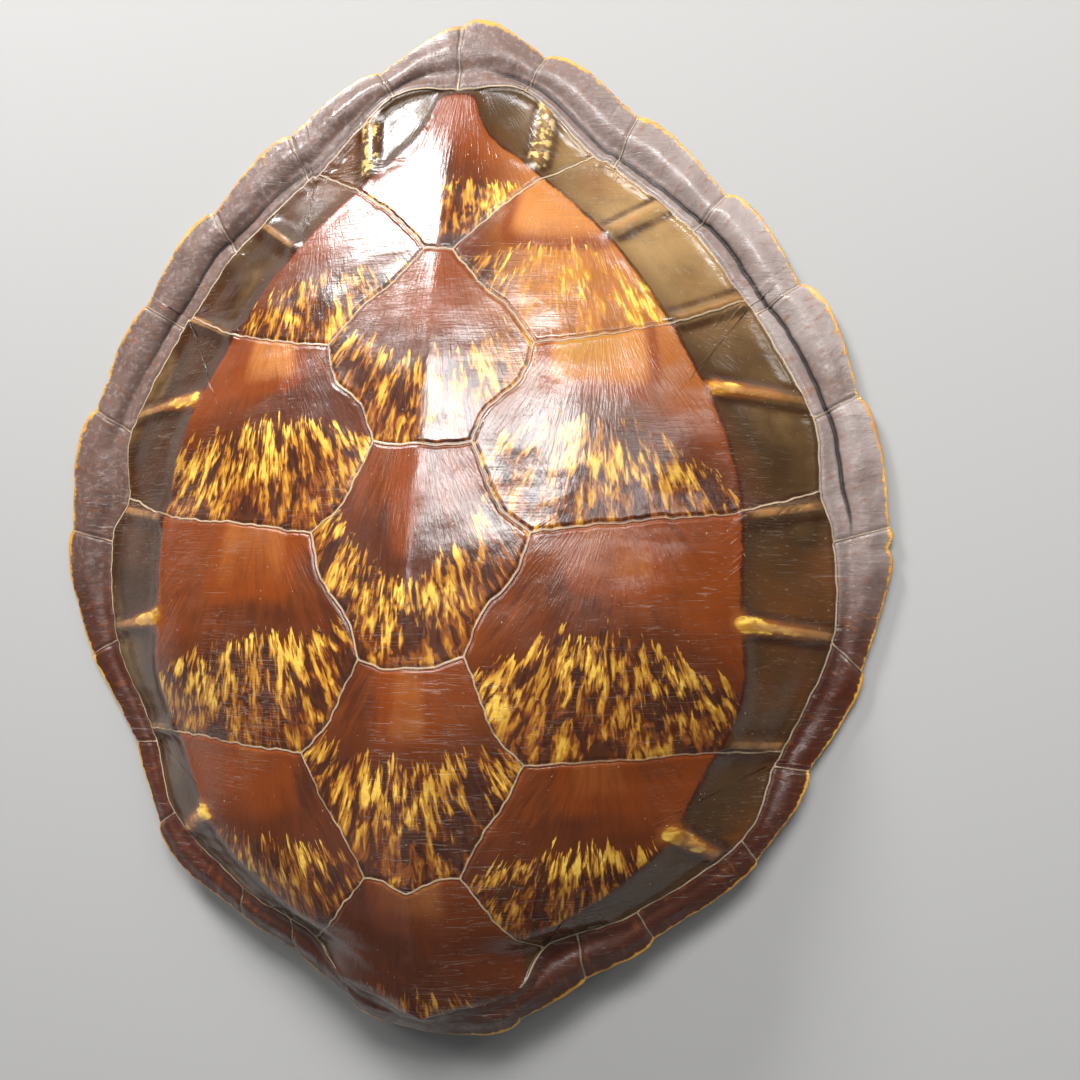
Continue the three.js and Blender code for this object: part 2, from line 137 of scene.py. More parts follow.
# Edge of the bone plates inside the windows of thin horn, on the right-hand side.
BONE_EDGE = [
    (0, 209), (9, 207), (14, 192), (23, 179), (40, 165), (70, 137), (96, 105), (117, 70), (133, 36),
    (142, 0), (142, -50), (142, -92), (126, -124), (108, -155), (80, -180), (48, -198), (0, -222),
]
# Each rib on the right-hand side: where it leaves the spine, leaves the bone and meets the rim.
RIBS = [
    ((8, 150), (43, 168), (47, 205)), ((8, 122), (80, 130), (106, 149)),
    ((8, 84), (108, 84), (146, 101)), ((8, 42), (130, 53), (177, 49)),
    ((8, -8), (142, -8), (186, 0)), ((8, -58), (140, -57), (184, -63)),
    ((8, -110), (136, -112), (165, -115)), ((8, -150), (104, -145), (130, -162)),
]
PLUMED_RIBS = (RIBS[3], RIBS[5], RIBS[7])  # flames run out along these, between two seams
# Height of the keel's line along the back, as (y, z).
KEEL_LINE = [
    (212, 15), (165, 31), (119, 48), (70, 62), (21, 74), (-30, 85),
    (-77, 91), (-120, 90), (-173, 82), (-205, 71), (-237, 55),
]
# Small losses along the free edge: side, y, depth and half width.
NICKS = [(1, -21, 1.9, 3.5), (1, 205, 0.9, 2.4), (-1, 70, 1.0, 2.6), (-1, -50, 0.8, 2.4)]

# ---- Sizes of the form, in millimetres ----

HUB = np.array([0.0, -10.0])  # bearings round the shell are taken from here
DOME_POWER = 2.05  # 2 would make every cross-section a parabola
KEEL = {"height": 5.0, "spread": 17.0, "round": 4.0}
PUFF = 0.7  # rise of a scute between its seams
PUFF_SPREAD = 16.0
RIDGE = {"rise": 2.4, "share": 0.60, "spread": 0.22}  # shares of a marginal's width
HOLLOW = {"rise": -1.8, "share": 0.27, "spread": 0.14}
UNDER_RIDGE = {"rise": 2.6, "share": 0.55, "spread": 0.24}  # the same on the lower face
UNDER_HOLLOW = {"rise": -2.4, "share": 0.24, "spread": 0.13}
FULL_FLANGE = 26.0  # narrower marginals have less of a hollow and ridge
# Heights of the marginals' inner seam and of the free edge: at the flanks, what the tail adds, and
# what the arch over the neck adds, from where its crown lies and how it steepens.
SEAM_LINE = {"flank": 8, "tail": 7, "neck": 47, "crown": -237, "power": 1.5}
EDGE_LINE = {"flank": 5, "tail": 2.5, "neck": 29, "crown": -250, "power": 1.3}
FOLD = {"share": 0.31, "wander": 0.035, "half": 1.15}  # the sharp fold along the marginals
RIB_BACK = 4.6  # how far a rib's round back spreads
RIB_GUTTER = {"depth": 0.25, "away": 8.5, "spread": 3.0}
BONE = 5.2  # thickness under the scutes
HORN = 3.4  # thickness in the windows
WINDOW_DROP = 3.0  # the lower face follows horn that sinks this far
SPINE = {"height": 6.0, "spread": 9.0, "bead": 0.9, "pitch": 41.0}
UNDER_RIB = {"height": 1.8, "spread": 8.0}
EDGE = 2.4  # thickness of the rim's free edge
FOOT = {"start": 5.0, "end": 13.0, "wall_top": 27.0}  # distances in from the free edge
HEAD_ARCH_START = -100.0  # towards the head the rim lifts from here
SUPPORT = 6.5  # the rim's depth where it clears the ground
SPINE_ENDS = (165.0, -175.0)
STEP = 2.0  # spacing of points along every seam
SEAM_ROWS = [0.0, 0.4, 0.8, 1.25, 1.8, 2.7, 3.9]  # rows that follow a seam on each side of it
RING_GAP = 2.5  # spacing of the rings further in
LEAST_REACH = 14.0  # shortest way in from a scute's seam that its rings are spread over
HALVINGS = (0.42, 0.78)  # shares of the way in at which the rings halve their points
VEIL = {"start": 212, "full": 226, "half": 36, "end": 44}  # varnish over the nuchal's seams
NECK_BONE = {"start": 196, "full": 220, "half": 36, "end": 50}  # bone that reaches the rim there
RIB_SPREAD = 5.0  # how far the marks of ribs and of their flames spread to each side
PLUME_SPREAD = 5.5

# ---- Finish and stage ----

FAN_APEX = 0.55  # the flames' fan starts this far behind the growth centre, in growth units
SEED_SHIFT = 7.31  # sets each scute's pattern apart from its neighbours'
BACK_PLATE_HALF = 1.15  # half width of the bone plates along the back, in centimetres
VARNISH_IOR = 1.5
SCRATCH_SETS = ((0.35, 1.0), (1.25, 0.8), (2.3, 1.2))  # bearing in radians, fineness
# Tints that darken, lighten or fleck the shell's colours; those in the seams' gutters, just past
# the bone's edge, beside the ribs and in the rim's fold are painted shade.
TINTS = {
    "gutter": (0.02, 0.007, 0.004, 1), "old_cord": (0.3, 0.15, 0.06, 1),
    "window_soot": (0.02, 0.010, 0.005, 1), "left_window": (0.030, 0.008, 0.002, 1),
    "bone_rim": (0.045, 0.009, 0.003, 1), "bone_edge_shadow": (0.05, 0.012, 0.004, 1),
    "rib_gutter_shade": (0.045, 0.014, 0.005, 1), "chip": (0.75, 0.62, 0.42, 1),
    "scratch": (0.62, 0.5, 0.38, 1), "dust": (0.75, 0.6, 0.42, 1),
    "rim_soot": (0.05, 0.02, 0.012, 1), "fold": (0.012, 0.006, 0.004, 1),
    "rim_scratch": (0.7, 0.62, 0.56, 1), "bone_grain": (0.36, 0.25, 0.14, 1),
    "bare_rib": (0.72, 0.61, 0.44, 1), "bone_joint": (0.13, 0.07, 0.035, 1),
    "pore": (0.2, 0.12, 0.06, 1), "fibre": (0.75, 0.62, 0.44, 1),
    "floor_drift": (0.46, 0.46, 0.46, 1),
}
FIBRE_TURN = 1.42  # most that a fibre leans from upright, in radians
FIBRE_SEED = 7  # fixed, so that the fibres fall the same way each time
FLOOR_HALF = 9.0
# Each light's place, the point it is aimed at and its two sides, in metres.
LIGHTS = {
    "key_light": ((0.25, 1.05, 1.45), (0.0, 0.0, 0.0), (0.75, 0.45)),
    "low_light": ((-0.90, 1.60, 0.80), (-0.05, 0.1, 0.0), (0.46, 0.42)),
    "side_light": ((1.25, 0.92, 1.35), (0.1, 0.0, 0.0), (0.35, 0.7)),
    "top_light": ((-0.48, 0.72, 1.45), (-0.05, 0.15, 0.0), (0.4, 0.4)),
    "fill_light": ((-0.9, -1.6, 1.9), (0.0, 0.0, 0.0), (2.4, 2.4)),
}
ROOM_TINT = (0.93, 0.96, 1.0, 1.0)
CAMERA = {"place": (0.13894, -0.05210, 0.54419), "lens": 36.667, "sensor": 36.0}
CAMERA_TURNS = ((9.95, "Y"), (3.49, "X"), (0.61, "Z"))  # degrees; the last is applied first


# ---- Curves ----


def smoothstep(value, start, end):
    share = np.clip((value - start) / (end - start), 0, 1)
    return share * share * (3 - 2 * share)


def falling(value, start, end):
    return 1 - smoothstep(value, start, end)


def bump(distance, spread):
    return np.exp(-((distance / spread) ** 2))


def bump_at(share, form):
    """A form's rise where it stands across a marginal."""
    return form["rise"] * bump(share - form["share"], form["spread"])


def curve_at(points, places):
    """Points of a Catmull-Rom curve, places counted in stretches of its control points."""
    points = np.asarray(points, float)
    padded = np.vstack([points[:1], points, points[-1:]])
    start = np.minimum(places.astype(int), len(points) - 2)
    share = (places - start)[:, None]
    before, a, b, after = (padded[start + k] for k in range(4))
    leave, arrive = (b - before) / 2, (after - a) / 2
    cubic = (2 * a - 2 * b + leave + arrive) * share**3
    square = (3 * b - 3 * a - 2 * leave - arrive) * share**2
    return cubic + square + leave * share + a


def smooth_through(points, steps):
    return curve_at(points, np.linspace(0, len(points) - 1, steps + 1))


def junction(name, side):
    if name in MIDLINE:
        return np.array(MIDLINE[name], float)
    right_x, right_y, left_x, left_y = PAIRS[name]
    return np.array((right_x, right_y) if side > 0 else (left_x, left_y), float)


def steps_for(length):
    """Steps along a seam, a multiple of four so that rings can halve their points twice."""
    return 4 * max(1, round(length / (4 * STEP)))


def left_of(a, b, side):
    along = (b - a) / np.linalg.norm(b - a)
    return np.array([-along[1], along[0]]) * side


def wander(points, name, size):
    """A seam's small natural bends, none at its ends."""
    random = np.random.default_rng(sum(ord(letter) * (i + 3) for i, letter in enumerate(name)))
    share = np.linspace(0, 1, len(points))
    length = np.linalg.norm(points[-1] - points[0])
    bend = sum(
        random.uniform(0.4, 1) * np.sin(2 * np.pi * share * length / wave + random.uniform(0, 6.3))
        for wave in (44, 23, 12, 7)
    )
    fade = np.minimum(1, np.minimum(share, 1 - share) * length / 8)
    tangent = np.gradient(points, axis=0)
    tangent /= np.maximum(np.linalg.norm(tangent, axis=1), 1e-9)[:, None]
    normal = np.stack([-tangent[:, 1], tangent[:, 0]], 1)
    return points + normal * (size * bend * fade)[:, None]


def close_at_ends(length):
    """Places along a stretch of the rim's seam, close beside its ends, even between; a multiple of
    four in all."""
    ends = np.array([gap / length for gap in SEAM_ROWS if gap < 0.3 * length])
    middle = 1 - 2 * ends[-1]
    total = 4 * max(1, round((2 * (len(ends) - 1) + middle * length / STEP) / 4))
    even = np.linspace(ends[-1], 1 - ends[-1], max(total - 2 * (len(ends) - 1), 1) + 1)
    return np.concatenate([ends[:-1], even, 1 - ends[-2::-1]])


def away_from_hub(x, y):
    """Bearing and distance from the hub."""
    return np.arctan2(y - HUB[1], x - HUB[0]), np.hypot(x - HUB[0], y - HUB[1])


def distance_along(points):
    """The distance covered at each point of a path."""
    return np.concatenate([[0], np.cumsum(np.linalg.norm(np.diff(points, axis=0), axis=1))])


def nicked(points, side):
    """The free edge with its small losses."""
    for nick_side, y, depth, half in NICKS:
        if nick_side == side:
            inward = (HUB - points) / np.linalg.norm(HUB - points, axis=1)[:, None]
            ragged = 1 + 0.35 * np.sin(points[:, 1] * 2.9)
            points = points + inward * (depth * ragged * bump(points[:, 1] - y, half))[:, None]
    return points


def lay_out_seams():
    """All seams as arrays of points, kept under (from, to, side)."""
    seams = {}

    def keep(start, end, side, points):
        points[0], points[-1] = junction(start, side), junction(end, side)
        seams[start, end, side] = points
        seams[end, start, side] = points[::-1]

    for side in (1, -1):
        for start, end, first, second in SEAMS:
            a, b = junction(start, side), junction(end, side)
            aside = left_of(a, b, side)
            middle = [a + (b - a) / 3 + aside * first, a + (b - a) * 2 / 3 + aside * second]
            points = smooth_through([a, *middle, b], steps_for(np.linalg.norm(b - a) * 1.03))
            keep(start, end, side, wander(points, f"{start}{end}{side}", 0.28))
        nodes = [junction(name, side) for name in RIM_SEAM]
        for i in range(len(nodes) - 1):
            # Both sides take the right one's count, so that the underside's rows meet on the spine.
            length = np.linalg.norm(junction(RIM_SEAM[i], 1) - junction(RIM_SEAM[i + 1], 1))
            points = curve_at(nodes, i + close_at_ends(length))
            keep(RIM_SEAM[i], RIM_SEAM[i + 1], side, wander(points, f"{RIM_SEAM[i]}{side}", 0.2))
        for i in range(len(FREE_EDGE) - 1):
            a, b = junction(FREE_EDGE[i], side), junction(FREE_EDGE[i + 1], side)
            inner = [seams[p, q, 1] for p, q in inner_stretches(i)]
            spans = [np.linalg.norm(np.diff(part, axis=0), axis=1) for part in inner]
            share = np.concatenate([[0], np.cumsum(np.concatenate(spans))])
            share /= share[-1]
            swell = SWELL[i][0 if side > 0 else 1] * np.sin(np.pi * share**0.6)
            points = a + (b - a) * share[:, None] + left_of(a, b, side) * swell[:, None]
            points = nicked(wander(points, f"{FREE_EDGE[i]}{side}", 0.16), side)
            keep(FREE_EDGE[i], FREE_EDGE[i + 1], side, points)
    return seams


def inner_stretches(index):
    """The stretches of the inner seam that lie beside one marginal's free edge."""
    stops = [name for name in RIM_SEAM if name[0] == "i" or name in MIDLINE]
    first, last = RIM_SEAM.index(stops[index]), RIM_SEAM.index(stops[index + 1])
    return [(RIM_SEAM[i], RIM_SEAM[i + 1]) for i in range(first, last)]


SEAM_POINTS = lay_out_seams()


def chain(names, side):
    """The points of a chain of junctions, with the last."""
    parts = [SEAM_POINTS[a, b, side][:-1] for a, b in zip(names, names[1:])]
    return np.vstack([*parts, SEAM_POINTS[names[-2], names[-1], side][-1:]])


def both_sides(names):
    """A closed loop, down the right-hand side and back up the left, with no point twice."""
    return np.vstack([chain(names, 1)[:-1], chain(names[::-1], -1)[:-1]])


def reach_of(loop):
    """The distance from the hub to a loop, as a function of the bearing."""
    away = loop - HUB
    angle = np.arctan2(away[:, 1], away[:, 0])
    order = np.argsort(angle)
    reach = np.linalg.norm(away, axis=1)
    return lambda bearing: np.interp(bearing, angle[order], reach[order], period=2 * np.pi)


def bone_loop():
    right = smooth_through(BONE_EDGE, 300)
    left = right[::-1] * (-1, 1)
    return np.vstack([right, left[1:-1]])


reach_of_bone = reach_of(bone_loop())
reach_of_seam = reach_of(both_sides(RIM_SEAM))
reach_of_edge = reach_of(both_sides(FREE_EDGE))
KEEL_POINTS = smooth_through(KEEL_LINE, 400)


def half_width(y, side):
    """Distance from the midline to the marginals' inner seam."""
    points = chain(RIM_SEAM, side)
    order = np.argsort(points[:, 1])
    return np.interp(y, points[order, 1], np.abs(points[order, 0]))


def distance_to(points, path):
    """Distance of each point to a polyline, and the share of the way along it."""
    path = np.asarray(path, float)
    a, b = path[:-1], path[1:]
    way = b - a
    length = np.linalg.norm(way, axis=1)
    away = points[:, None, :] - a[None]
    share = np.clip((away * way).sum(2) / np.maximum(length**2, 1e-9), 0, 1)
    gap = np.linalg.norm(away - share[..., None] * way, axis=2)
    nearest = gap.argmin(1)
    rows = np.arange(len(points))
    travelled = np.concatenate([[0], np.cumsum(length)])
    place = (travelled[nearest] + share[rows, nearest] * length[nearest]) / travelled[-1]
    return gap[rows, nearest], place


# ---- Heights ----


def keel_height(y):
    return np.interp(y, KEEL_POINTS[::-1, 0], KEEL_POINTS[::-1, 1])


def arch(y, crown):
    """How far along the arch over the neck a place lies, from 0 at the sides to 1 at its crown."""
    return np.clip((HEAD_ARCH_START - y) / (HEAD_ARCH_START - crown), 0, 1)


def line_height(y, line, tailwards):
    raised = line["neck"] * arch(y, line["crown"]) ** line["power"]
    return line["flank"] + line["tail"] * tailwards + raised


def seam_height(y):
    return line_height(y, SEAM_LINE, np.clip(y / 211, 0, 1) ** 2)


def edge_height(y):
    return line_height(y, EDGE_LINE, np.clip((y - 60) / 190, 0, 1))


def nearest_rib(x, y, first, ribs=RIBS):
    """Distance to the nearest rib, taken from its given point outwards."""
    points = np.stack([np.abs(x), y], 1)
    return np.min([distance_to(points, rib[first:])[0] for rib in ribs], axis=0)


def window_share(x, y):
    """Share of the way from the bone's edge to the marginals' inner seam."""
    bearing, reach = away_from_hub(x, y)
    bone = reach_of_bone(bearing)
    return (reach - bone) / (reach_of_seam(bearing) - bone)


def past_bone(x, y):
    """How far a place lies outside the bone's edge, in millimetres."""
    bearing, reach = away_from_hub(x, y)
    return reach - reach_of_bone(bearing)


def dome(x, y):
    """The arched back with its keel, down to the marginals' inner seam."""
    width = np.where(x >= 0, half_width(y, 1), half_width(y, -1))
    across = np.minimum(np.abs(x) / np.maximum(width, 1e-6), 1)
    height = keel_height(y) - seam_height(y)
    crest = KEEL["height"] * smoothstep(height, 0, 40)
    shape = np.exp((KEEL["round"] - np.hypot(x, KEEL["round"])) / KEEL["spread"]) * (1 - across)
    return seam_height(y) + (height - crest) * (1 - across**DOME_POWER) + crest * shape


def swells(x, y, seed, wave):
    """Gentle unevenness, about 1 high and low."""
    random = np.random.default_rng(seed)
    total = np.zeros_like(x)
    for _ in range(7):
        bearing, phase = random.uniform(0, 2 * np.pi, 2)
        pitch = wave * random.uniform(0.6, 1.7)
        total += np.sin((x * np.cos(bearing) + y * np.sin(bearing)) * 2 * np.pi / pitch + phase)
    return total / 3


def at_neck(x, y, area):
    """1 inside an area round the nuchal, easing out to its sides and to its start."""
    across = falling(np.abs(x), area["half"], area["end"])
    return smoothstep(-y, area["start"], area["full"]) * across


def veiled(gap, x, y):
    """The distance to a seam, made too large to show where varnish fills the nuchal's seams."""
    return gap + 12 * at_neck(x, y, VEIL)


def seam_relief(gap, sizes):
    """The pale cord in its gutter, and the lip beside it."""
    cord = -sizes.seam_depth * 0.25 * falling(gap, 0.0, 0.5)
    gutter = -sizes.seam_depth * smoothstep(gap, 0.25, 0.7) * falling(gap, 0.8, 1.7)
    lip = 0.10 * bump(gap - 2.2, 0.9)
    return (cord + gutter) / MM + lip


def rib_relief(x, y, sizes):
    """A rib's end under the horn, past the bone: a round back with a gutter on each side."""
    gap = nearest_rib(x, y, 1)
    outside = smoothstep(past_bone(x, y), -3, 4) * falling(window_share(x, y), 0.86, 1.02)
    back = sizes.rib_height / MM * bump(gap, RIB_BACK)
    gutter = RIB_GUTTER["depth"] * bump(gap - RIB_GUTTER["away"], RIB_GUTTER["spread"])
    return (back - gutter) * outside


def scute_height(x, y, sizes):
    """The horn's upper face inside the marginals, sunk in the windows past the bone."""
    share = window_share(x, y)
    sink = sizes.window_sink / MM
    depth = smoothstep(past_bone(x, y), -0.5, 8.0) * falling(share, 0.82, 1)
    depth = depth * (1 - at_neck(x, y, NECK_BONE))
    rim = 0.35 * bump(past_bone(x, y) + 1.8, 1.8) * falling(share, 0.6, 1)
    level = dome(x, y) - sink * depth + rim
    uneven = 0.32 * swells(x, y, 5, 46) + 0.10 * swells(x, y, 6, 15)
    return level + rib_relief(x, y, sizes) + uneven * falling(share, 0.8, 1)


def flange_height(share, x, y, width, sizes):
    """A marginal dips beside its seam, with the fold in the dip, stands up and runs down to its
    edge."""
    fade = smoothstep(share, 0, 0.14) * (1 - share**6) * np.minimum(width / FULL_FLANGE, 1) ** 2
    fold = -sizes.fold_depth / MM * fold_line(share, x, y, width)
    uneven = (0.25 * swells(x, y, 8, 22) + 0.10 * swells(x, y, 9, 8)) * np.sin(np.pi * share)
    level = seam_height(y) * (1 - share) + edge_height(y) * share
    return level + (bump_at(share, HOLLOW) + bump_at(share, RIDGE)) * fade + fold + uneven


def fold_line(share, x, y, width):
    """1 along the sharp fold beside the marginals' inner seam, from the tail to the flanks."""
    place = FOLD["share"] + FOLD["wander"] * swells(x, y, 11, 60)
    place = place - 0.12 * bump(np.abs(x) - 75, 40) * (y > 120)
    reach = np.where(x > 0, smoothstep(y, -35, 10), 0.75 * smoothstep(y, 30, 110))
    return bump((share - place) * width, FOLD["half"]) * reach * smoothstep(np.abs(x), 8, 30)


def under_height(x, y):
    """The bone's inner face: ribs and a beaded spine stand down from it."""
    share = window_share(x, y)
    depth = smoothstep(share, 0, 0.2) * falling(share, 0.86, 1)
    thickness = BONE + (WINDOW_DROP + HORN - BONE) * depth
    ribs = UNDER_RIB["height"] * bump(nearest_rib(x, y, 0), UNDER_RIB["spread"])
    beads = 1 + SPINE["bead"] * 0.2 * np.cos(2 * np.pi * y / SPINE["pitch"])
    spine = SPINE["height"] * beads * bump(x, SPINE["spread"])
    spine = spine * smoothstep(180 - np.abs(y), 0, 50)
    return dome(x, y) - thickness - np.maximum(ribs, spine)


def flange_under(x, y):
    """The marginals' lower face."""
    bearing, reach = away_from_hub(x, y)
    seam, edge = reach_of_seam(bearing), reach_of_edge(bearing)
    share = np.clip((reach - seam) / (edge - seam), 0, 1)
    fade = smoothstep(share, 0, 0.12) * np.minimum((edge - seam) / FULL_FLANGE, 1) ** 2
    dip = bump_at(share, UNDER_HOLLOW) + bump_at(share, UNDER_RIDGE)
    return seam_height(y) * (1 - share) + edge_height(y) * share + dip * fade - BONE


# ---- Mesh ----

UNIT = 50.0  # millimetres in one unit of the growth attribute and of the flames' front
CENTIMETRE = 10.0  # distances to seams, sutures and the bone's edge are marked in centimetres
TOP, BELOW = 0, 1  # the two faces of the shell, kept apart where points are joined
MARKS = ("front", "block", "bright", "seam", "window", "rib", "rim", "fold", "suture", "plume")


class Patches:
    """Collects patches of triangles and joins points that share a place and a face of the shell."""

    def __init__(self):
        self.points, self.faces, self.growth = [], [], []
        self.marks, self.slots, self.keys = [], [], []
        self.count = 0

    def add(self, points, faces, slot, layer, growth, **marks):
        total = len(points)
        columns = [np.broadcast_to(marks.get(name, 0.0), total) for name in MARKS]
        self.points.append(points)
        self.faces.append(faces + self.count)
        self.growth.append(growth)
        self.marks.append(np.stack(columns, 1))
        self.slots.append(np.broadcast_to(slot, len(faces)))
        layers = np.broadcast_to(layer, total)
        self.keys.append(np.column_stack([np.round(points[:, :2] * 2000), layers]).astype(np.int64))
        self.count += total

    def mesh(self, name, offset):
        points, faces = np.vstack(self.points), np.vstack(self.faces)
        keys = np.vstack(self.keys)
        _, first, joined = np.unique(keys, axis=0, return_index=True, return_inverse=True)
        joined = joined.reshape(-1)[faces]
        whole = (joined[:, 0] != joined[:, 1]) & (joined[:, 1] != joined[:, 2])
        whole &= joined[:, 2] != joined[:, 0]
        whole &= np.abs(points[faces][..., 0]).max(1) > 1e-6  # slivers along the spine
        faces, joined = faces[whole], joined[whole]
        used, joined = np.unique(joined, return_inverse=True)
        first, joined = first[used], joined.reshape(-1, 3)
        mesh = bpy.data.meshes.new(name)
        mesh.vertices.add(len(first))
        places = (points[first] + offset) * MM
        mesh.vertices.foreach_set("co", places.astype(np.float32).ravel())
        mesh.loops.add(joined.size)
        mesh.loops.foreach_set("vertex_index", joined.astype(np.int32).ravel())
        mesh.polygons.add(len(joined))
        mesh.polygons.foreach_set("loop_start", np.arange(0, joined.size, 3, dtype=np.int32))
        slots = np.concatenate(self.slots)[whole]
        mesh.polygons.foreach_set("material_index", slots.astype(np.int32))
        mesh.polygons.foreach_set("use_smooth", np.ones(len(joined), bool))
        corners = faces.ravel()
        growth = mesh.attributes.new("growth", "FLOAT_VECTOR", "CORNER")
        vectors = np.vstack(self.growth)[corners]
        growth.data.foreach_set("vector", vectors.astype(np.float32).ravel())
        marks = np.vstack(self.marks)[corners]
        for i, mark in enumerate(MARKS):
            layer = mesh.attributes.new(mark, "FLOAT", "CORNER")
            layer.data.foreach_set("value", marks[:, i].astype(np.float32))
        mesh.update()
        mesh.validate()
        return mesh


def strip(outer, inner, flip):
    """Triangles between two rows of indices; the inner one may have every second point only."""
    if len(outer) == len(inner):
        a, b, c, d = outer[:-1], outer[1:], inner[1:], inner[:-1]
        triangles = np.vstack([np.stack([a, b, c], 1), np.stack([a, c, d], 1)])
    else:
        a, b, c, d, e = outer[:-1:2], outer[1::2], outer[2::2], inner[:-1], inner[1:]
        rows = (np.stack([a, b, d], 1), np.stack([b, e, d], 1), np.stack([b, c, e], 1))
        triangles = np.vstack(rows)
    return triangles[:, ::-1] if flip else triangles


def signed_area(loop):
    after = np.roll(loop, -1, 0)
    return (loop[:, 0] * after[:, 1] - loop[:, 1] * after[:, 0]).sum() / 2


def centroid(loop):
    after = np.roll(loop, -1, 0)
    weight = loop[:, 0] * after[:, 1] - loop[:, 1] * after[:, 0]
    return ((loop + after) * weight[:, None]).sum(0) / (3 * weight.sum())


def rings(loop):
    """The plan of a scute's rings, as points and faces, and its loop turned anticlockwise."""
    if signed_area(loop) < 0:
        loop = np.roll(loop[::-1], 1, 0)  # keeps a junction first
    centre = centroid(loop)
    tangent = np.roll(loop, -1, 0) - np.roll(loop, 1, 0)
    inward = np.stack([-tangent[:, 1], tangent[:, 0]], 1)
    inward /= np.linalg.norm(tangent, axis=1)[:, None]
    square = np.maximum(((centre - loop) * inward).sum(1), LEAST_REACH)
    last = SEAM_ROWS[-1] / square
    levels = [(gap / square, 1) for gap in SEAM_ROWS]
    count = int(np.ceil((np.median(square) - SEAM_ROWS[-1]) / RING_GAP))
    for k in range(1, count):
        share = k / count
        stride = 1 if share < HALVINGS[0] else 2 if share < HALVINGS[1] else 4
        levels.append((last + (1 - last) * share, stride))
    points, rows, total = [], [], 0
    for shares, stride in levels:
        kept = np.arange(0, len(loop), stride)
        points.append(loop[kept] + (centre - loop[kept]) * shares[kept, None])
        rows.append(np.append(np.arange(total, total + len(kept)), total))
        total += len(kept)
    points.append(centre[None])
    faces = [strip(a, b, False) for a, b in zip(rows, rows[1:])]
    inner = rows[-1]
    fan = np.stack([inner[:-1], inner[1:], np.full(len(inner) - 1, total)], 1)
    return np.vstack(points), np.vstack([*faces, fan]), loop


def add_scute(patches, loop, scute, seed, sizes):
    """One scute's rings, with the marks that place its clear block and flames."""
    growth_centre, front, bright, block = scute
    plan, faces, loop = rings(loop)
    x, y = plan.T
    gap = distance_to(plan, np.vstack([loop, loop[:1]]))[0]
    puff = PUFF * (1 - bump(gap, PUFF_SPREAD))
    gap = veiled(gap, x, y)
    z = scute_height(x, y, sizes) + seam_relief(gap, sizes) + puff
    dx, dy = x - growth_centre[0], y - growth_centre[1]
    start, lean, bend = front
    mirror = 1 if growth_centre[0] >= 0 else -1
    past_front = -dy - start - lean * dx * mirror - bend * dx**2
    half, length, clearness = block
    widened = half * (0.85 + 0.15 * np.clip(-dy / length, 0, 1))
    inside = falling(np.abs(dx) - widened, -8, 7)
    inside = clearness * inside * falling(-dy, length - 12, length + 10)
    growth = np.stack([dx / UNIT, dy / UNIT, np.full(len(x), float(seed))], 1)
    outside = past_bone(x, y) - 60 * at_neck(x, y, NECK_BONE)
    near = smoothstep(outside, -12, 2)
    patches.add(
        np.column_stack([plan, z]), faces, 0, TOP, growth,
        front=past_front / UNIT, block=inside, bright=bright, seam=gap / CENTIMETRE,
        window=outside / CENTIMETRE, rib=bump(nearest_rib(x, y, 1), RIB_SPREAD) * near,
        plume=bump(nearest_rib(x, y, 1, PLUMED_RIBS), PLUME_SPREAD) * near,
    )


# Rows across a marginal, as shares of the way left to its free edge.
FLANGE_ROWS = [
    0.05, 0.10, 0.14, 0.17, 0.195, 0.22, 0.245, 0.27, 0.30, 0.34, 0.39, 0.45, 0.52, 0.59, 0.66,
    0.73, 0.80, 0.86, 0.91, 0.95, 0.98, 1.0,
]


def rim_seams(side):
    """The seams that part the marginals, with the midline seam over the tail."""
    names = [("back5", "tail")] + [(f"i{i}", f"o{i}") for i in range(12, 0, -1)]
    return [np.array([junction(a, side), junction(b, side)]) for a, b in names]


def add_flange(patches, side, sizes):
    """The marginals of one side and half the nuchal, from the inner seam to the free edge."""
    inner, outer = chain(RIM_SEAM, side), chain(FREE_EDGE, side)
    way = outer - inner
    width = np.linalg.norm(way, axis=1)
    near = [gap / width for gap in SEAM_ROWS]
    shares = near + [near[-1] + (1 - near[-1]) * t for t in FLANGE_ROWS]
    share = np.stack(shares)
    plan = inner[None] + way[None] * share[..., None]
    x, y = plan[..., 0].ravel(), plan[..., 1].ravel()
    flat_share, flat_width = share.ravel(), np.tile(width, len(shares))
    points = np.column_stack([x, y])
    gap = distance_to(points, inner)[0]
    for seam in rim_seams(side):
        gap = np.minimum(gap, distance_to(points, seam)[0])
    gap = veiled(gap, x, y)
    relief = seam_relief(gap, sizes) * falling(flat_share, 0.93, 1)
    z = flange_height(flat_share, x, y, flat_width, sizes) + relief
    index = np.arange(points.shape[0]).reshape(share.shape)
    faces = np.vstack([strip(index[k], index[k + 1], side < 0) for k in range(len(shares) - 1)])
    travelled = distance_along(outer)
    starts = [np.abs(outer - junction(name, side)).sum(1).argmin() for name in FREE_EDGE[:-1]]
    number = np.searchsorted(starts, np.arange(len(outer)), "right") - 1
    along = (travelled - travelled[starts][number]) / UNIT
    growth = np.column_stack([
        np.tile(along, len(shares)), flat_share * flat_width / UNIT,
        np.tile(number + 30.0 * side, len(shares)),
    ])
    patches.add(
        np.column_stack([points, z]), faces, 1, TOP, growth,
        seam=gap / CENTIMETRE, rim=flat_share, fold=fold_line(flat_share, x, y, flat_width),
    )


# Rows of the rounded free edge, as (distance in from it, drop below it).
EDGE_ROWS = [(-0.25, 0.5), (-0.35, 1.15), (-0.2, 1.8), (0.5, EDGE)]
FOOT_ROWS = [2.6, 5.0, 7.6, 10.3, 13.0]
WALL_ROWS = [15.0, 17.3, 19.7, 22.0, 24.5, 27.0]
UNDER_ROWS = 24
FINE_ROWS = 6  # rows with all their points, from the free edge in


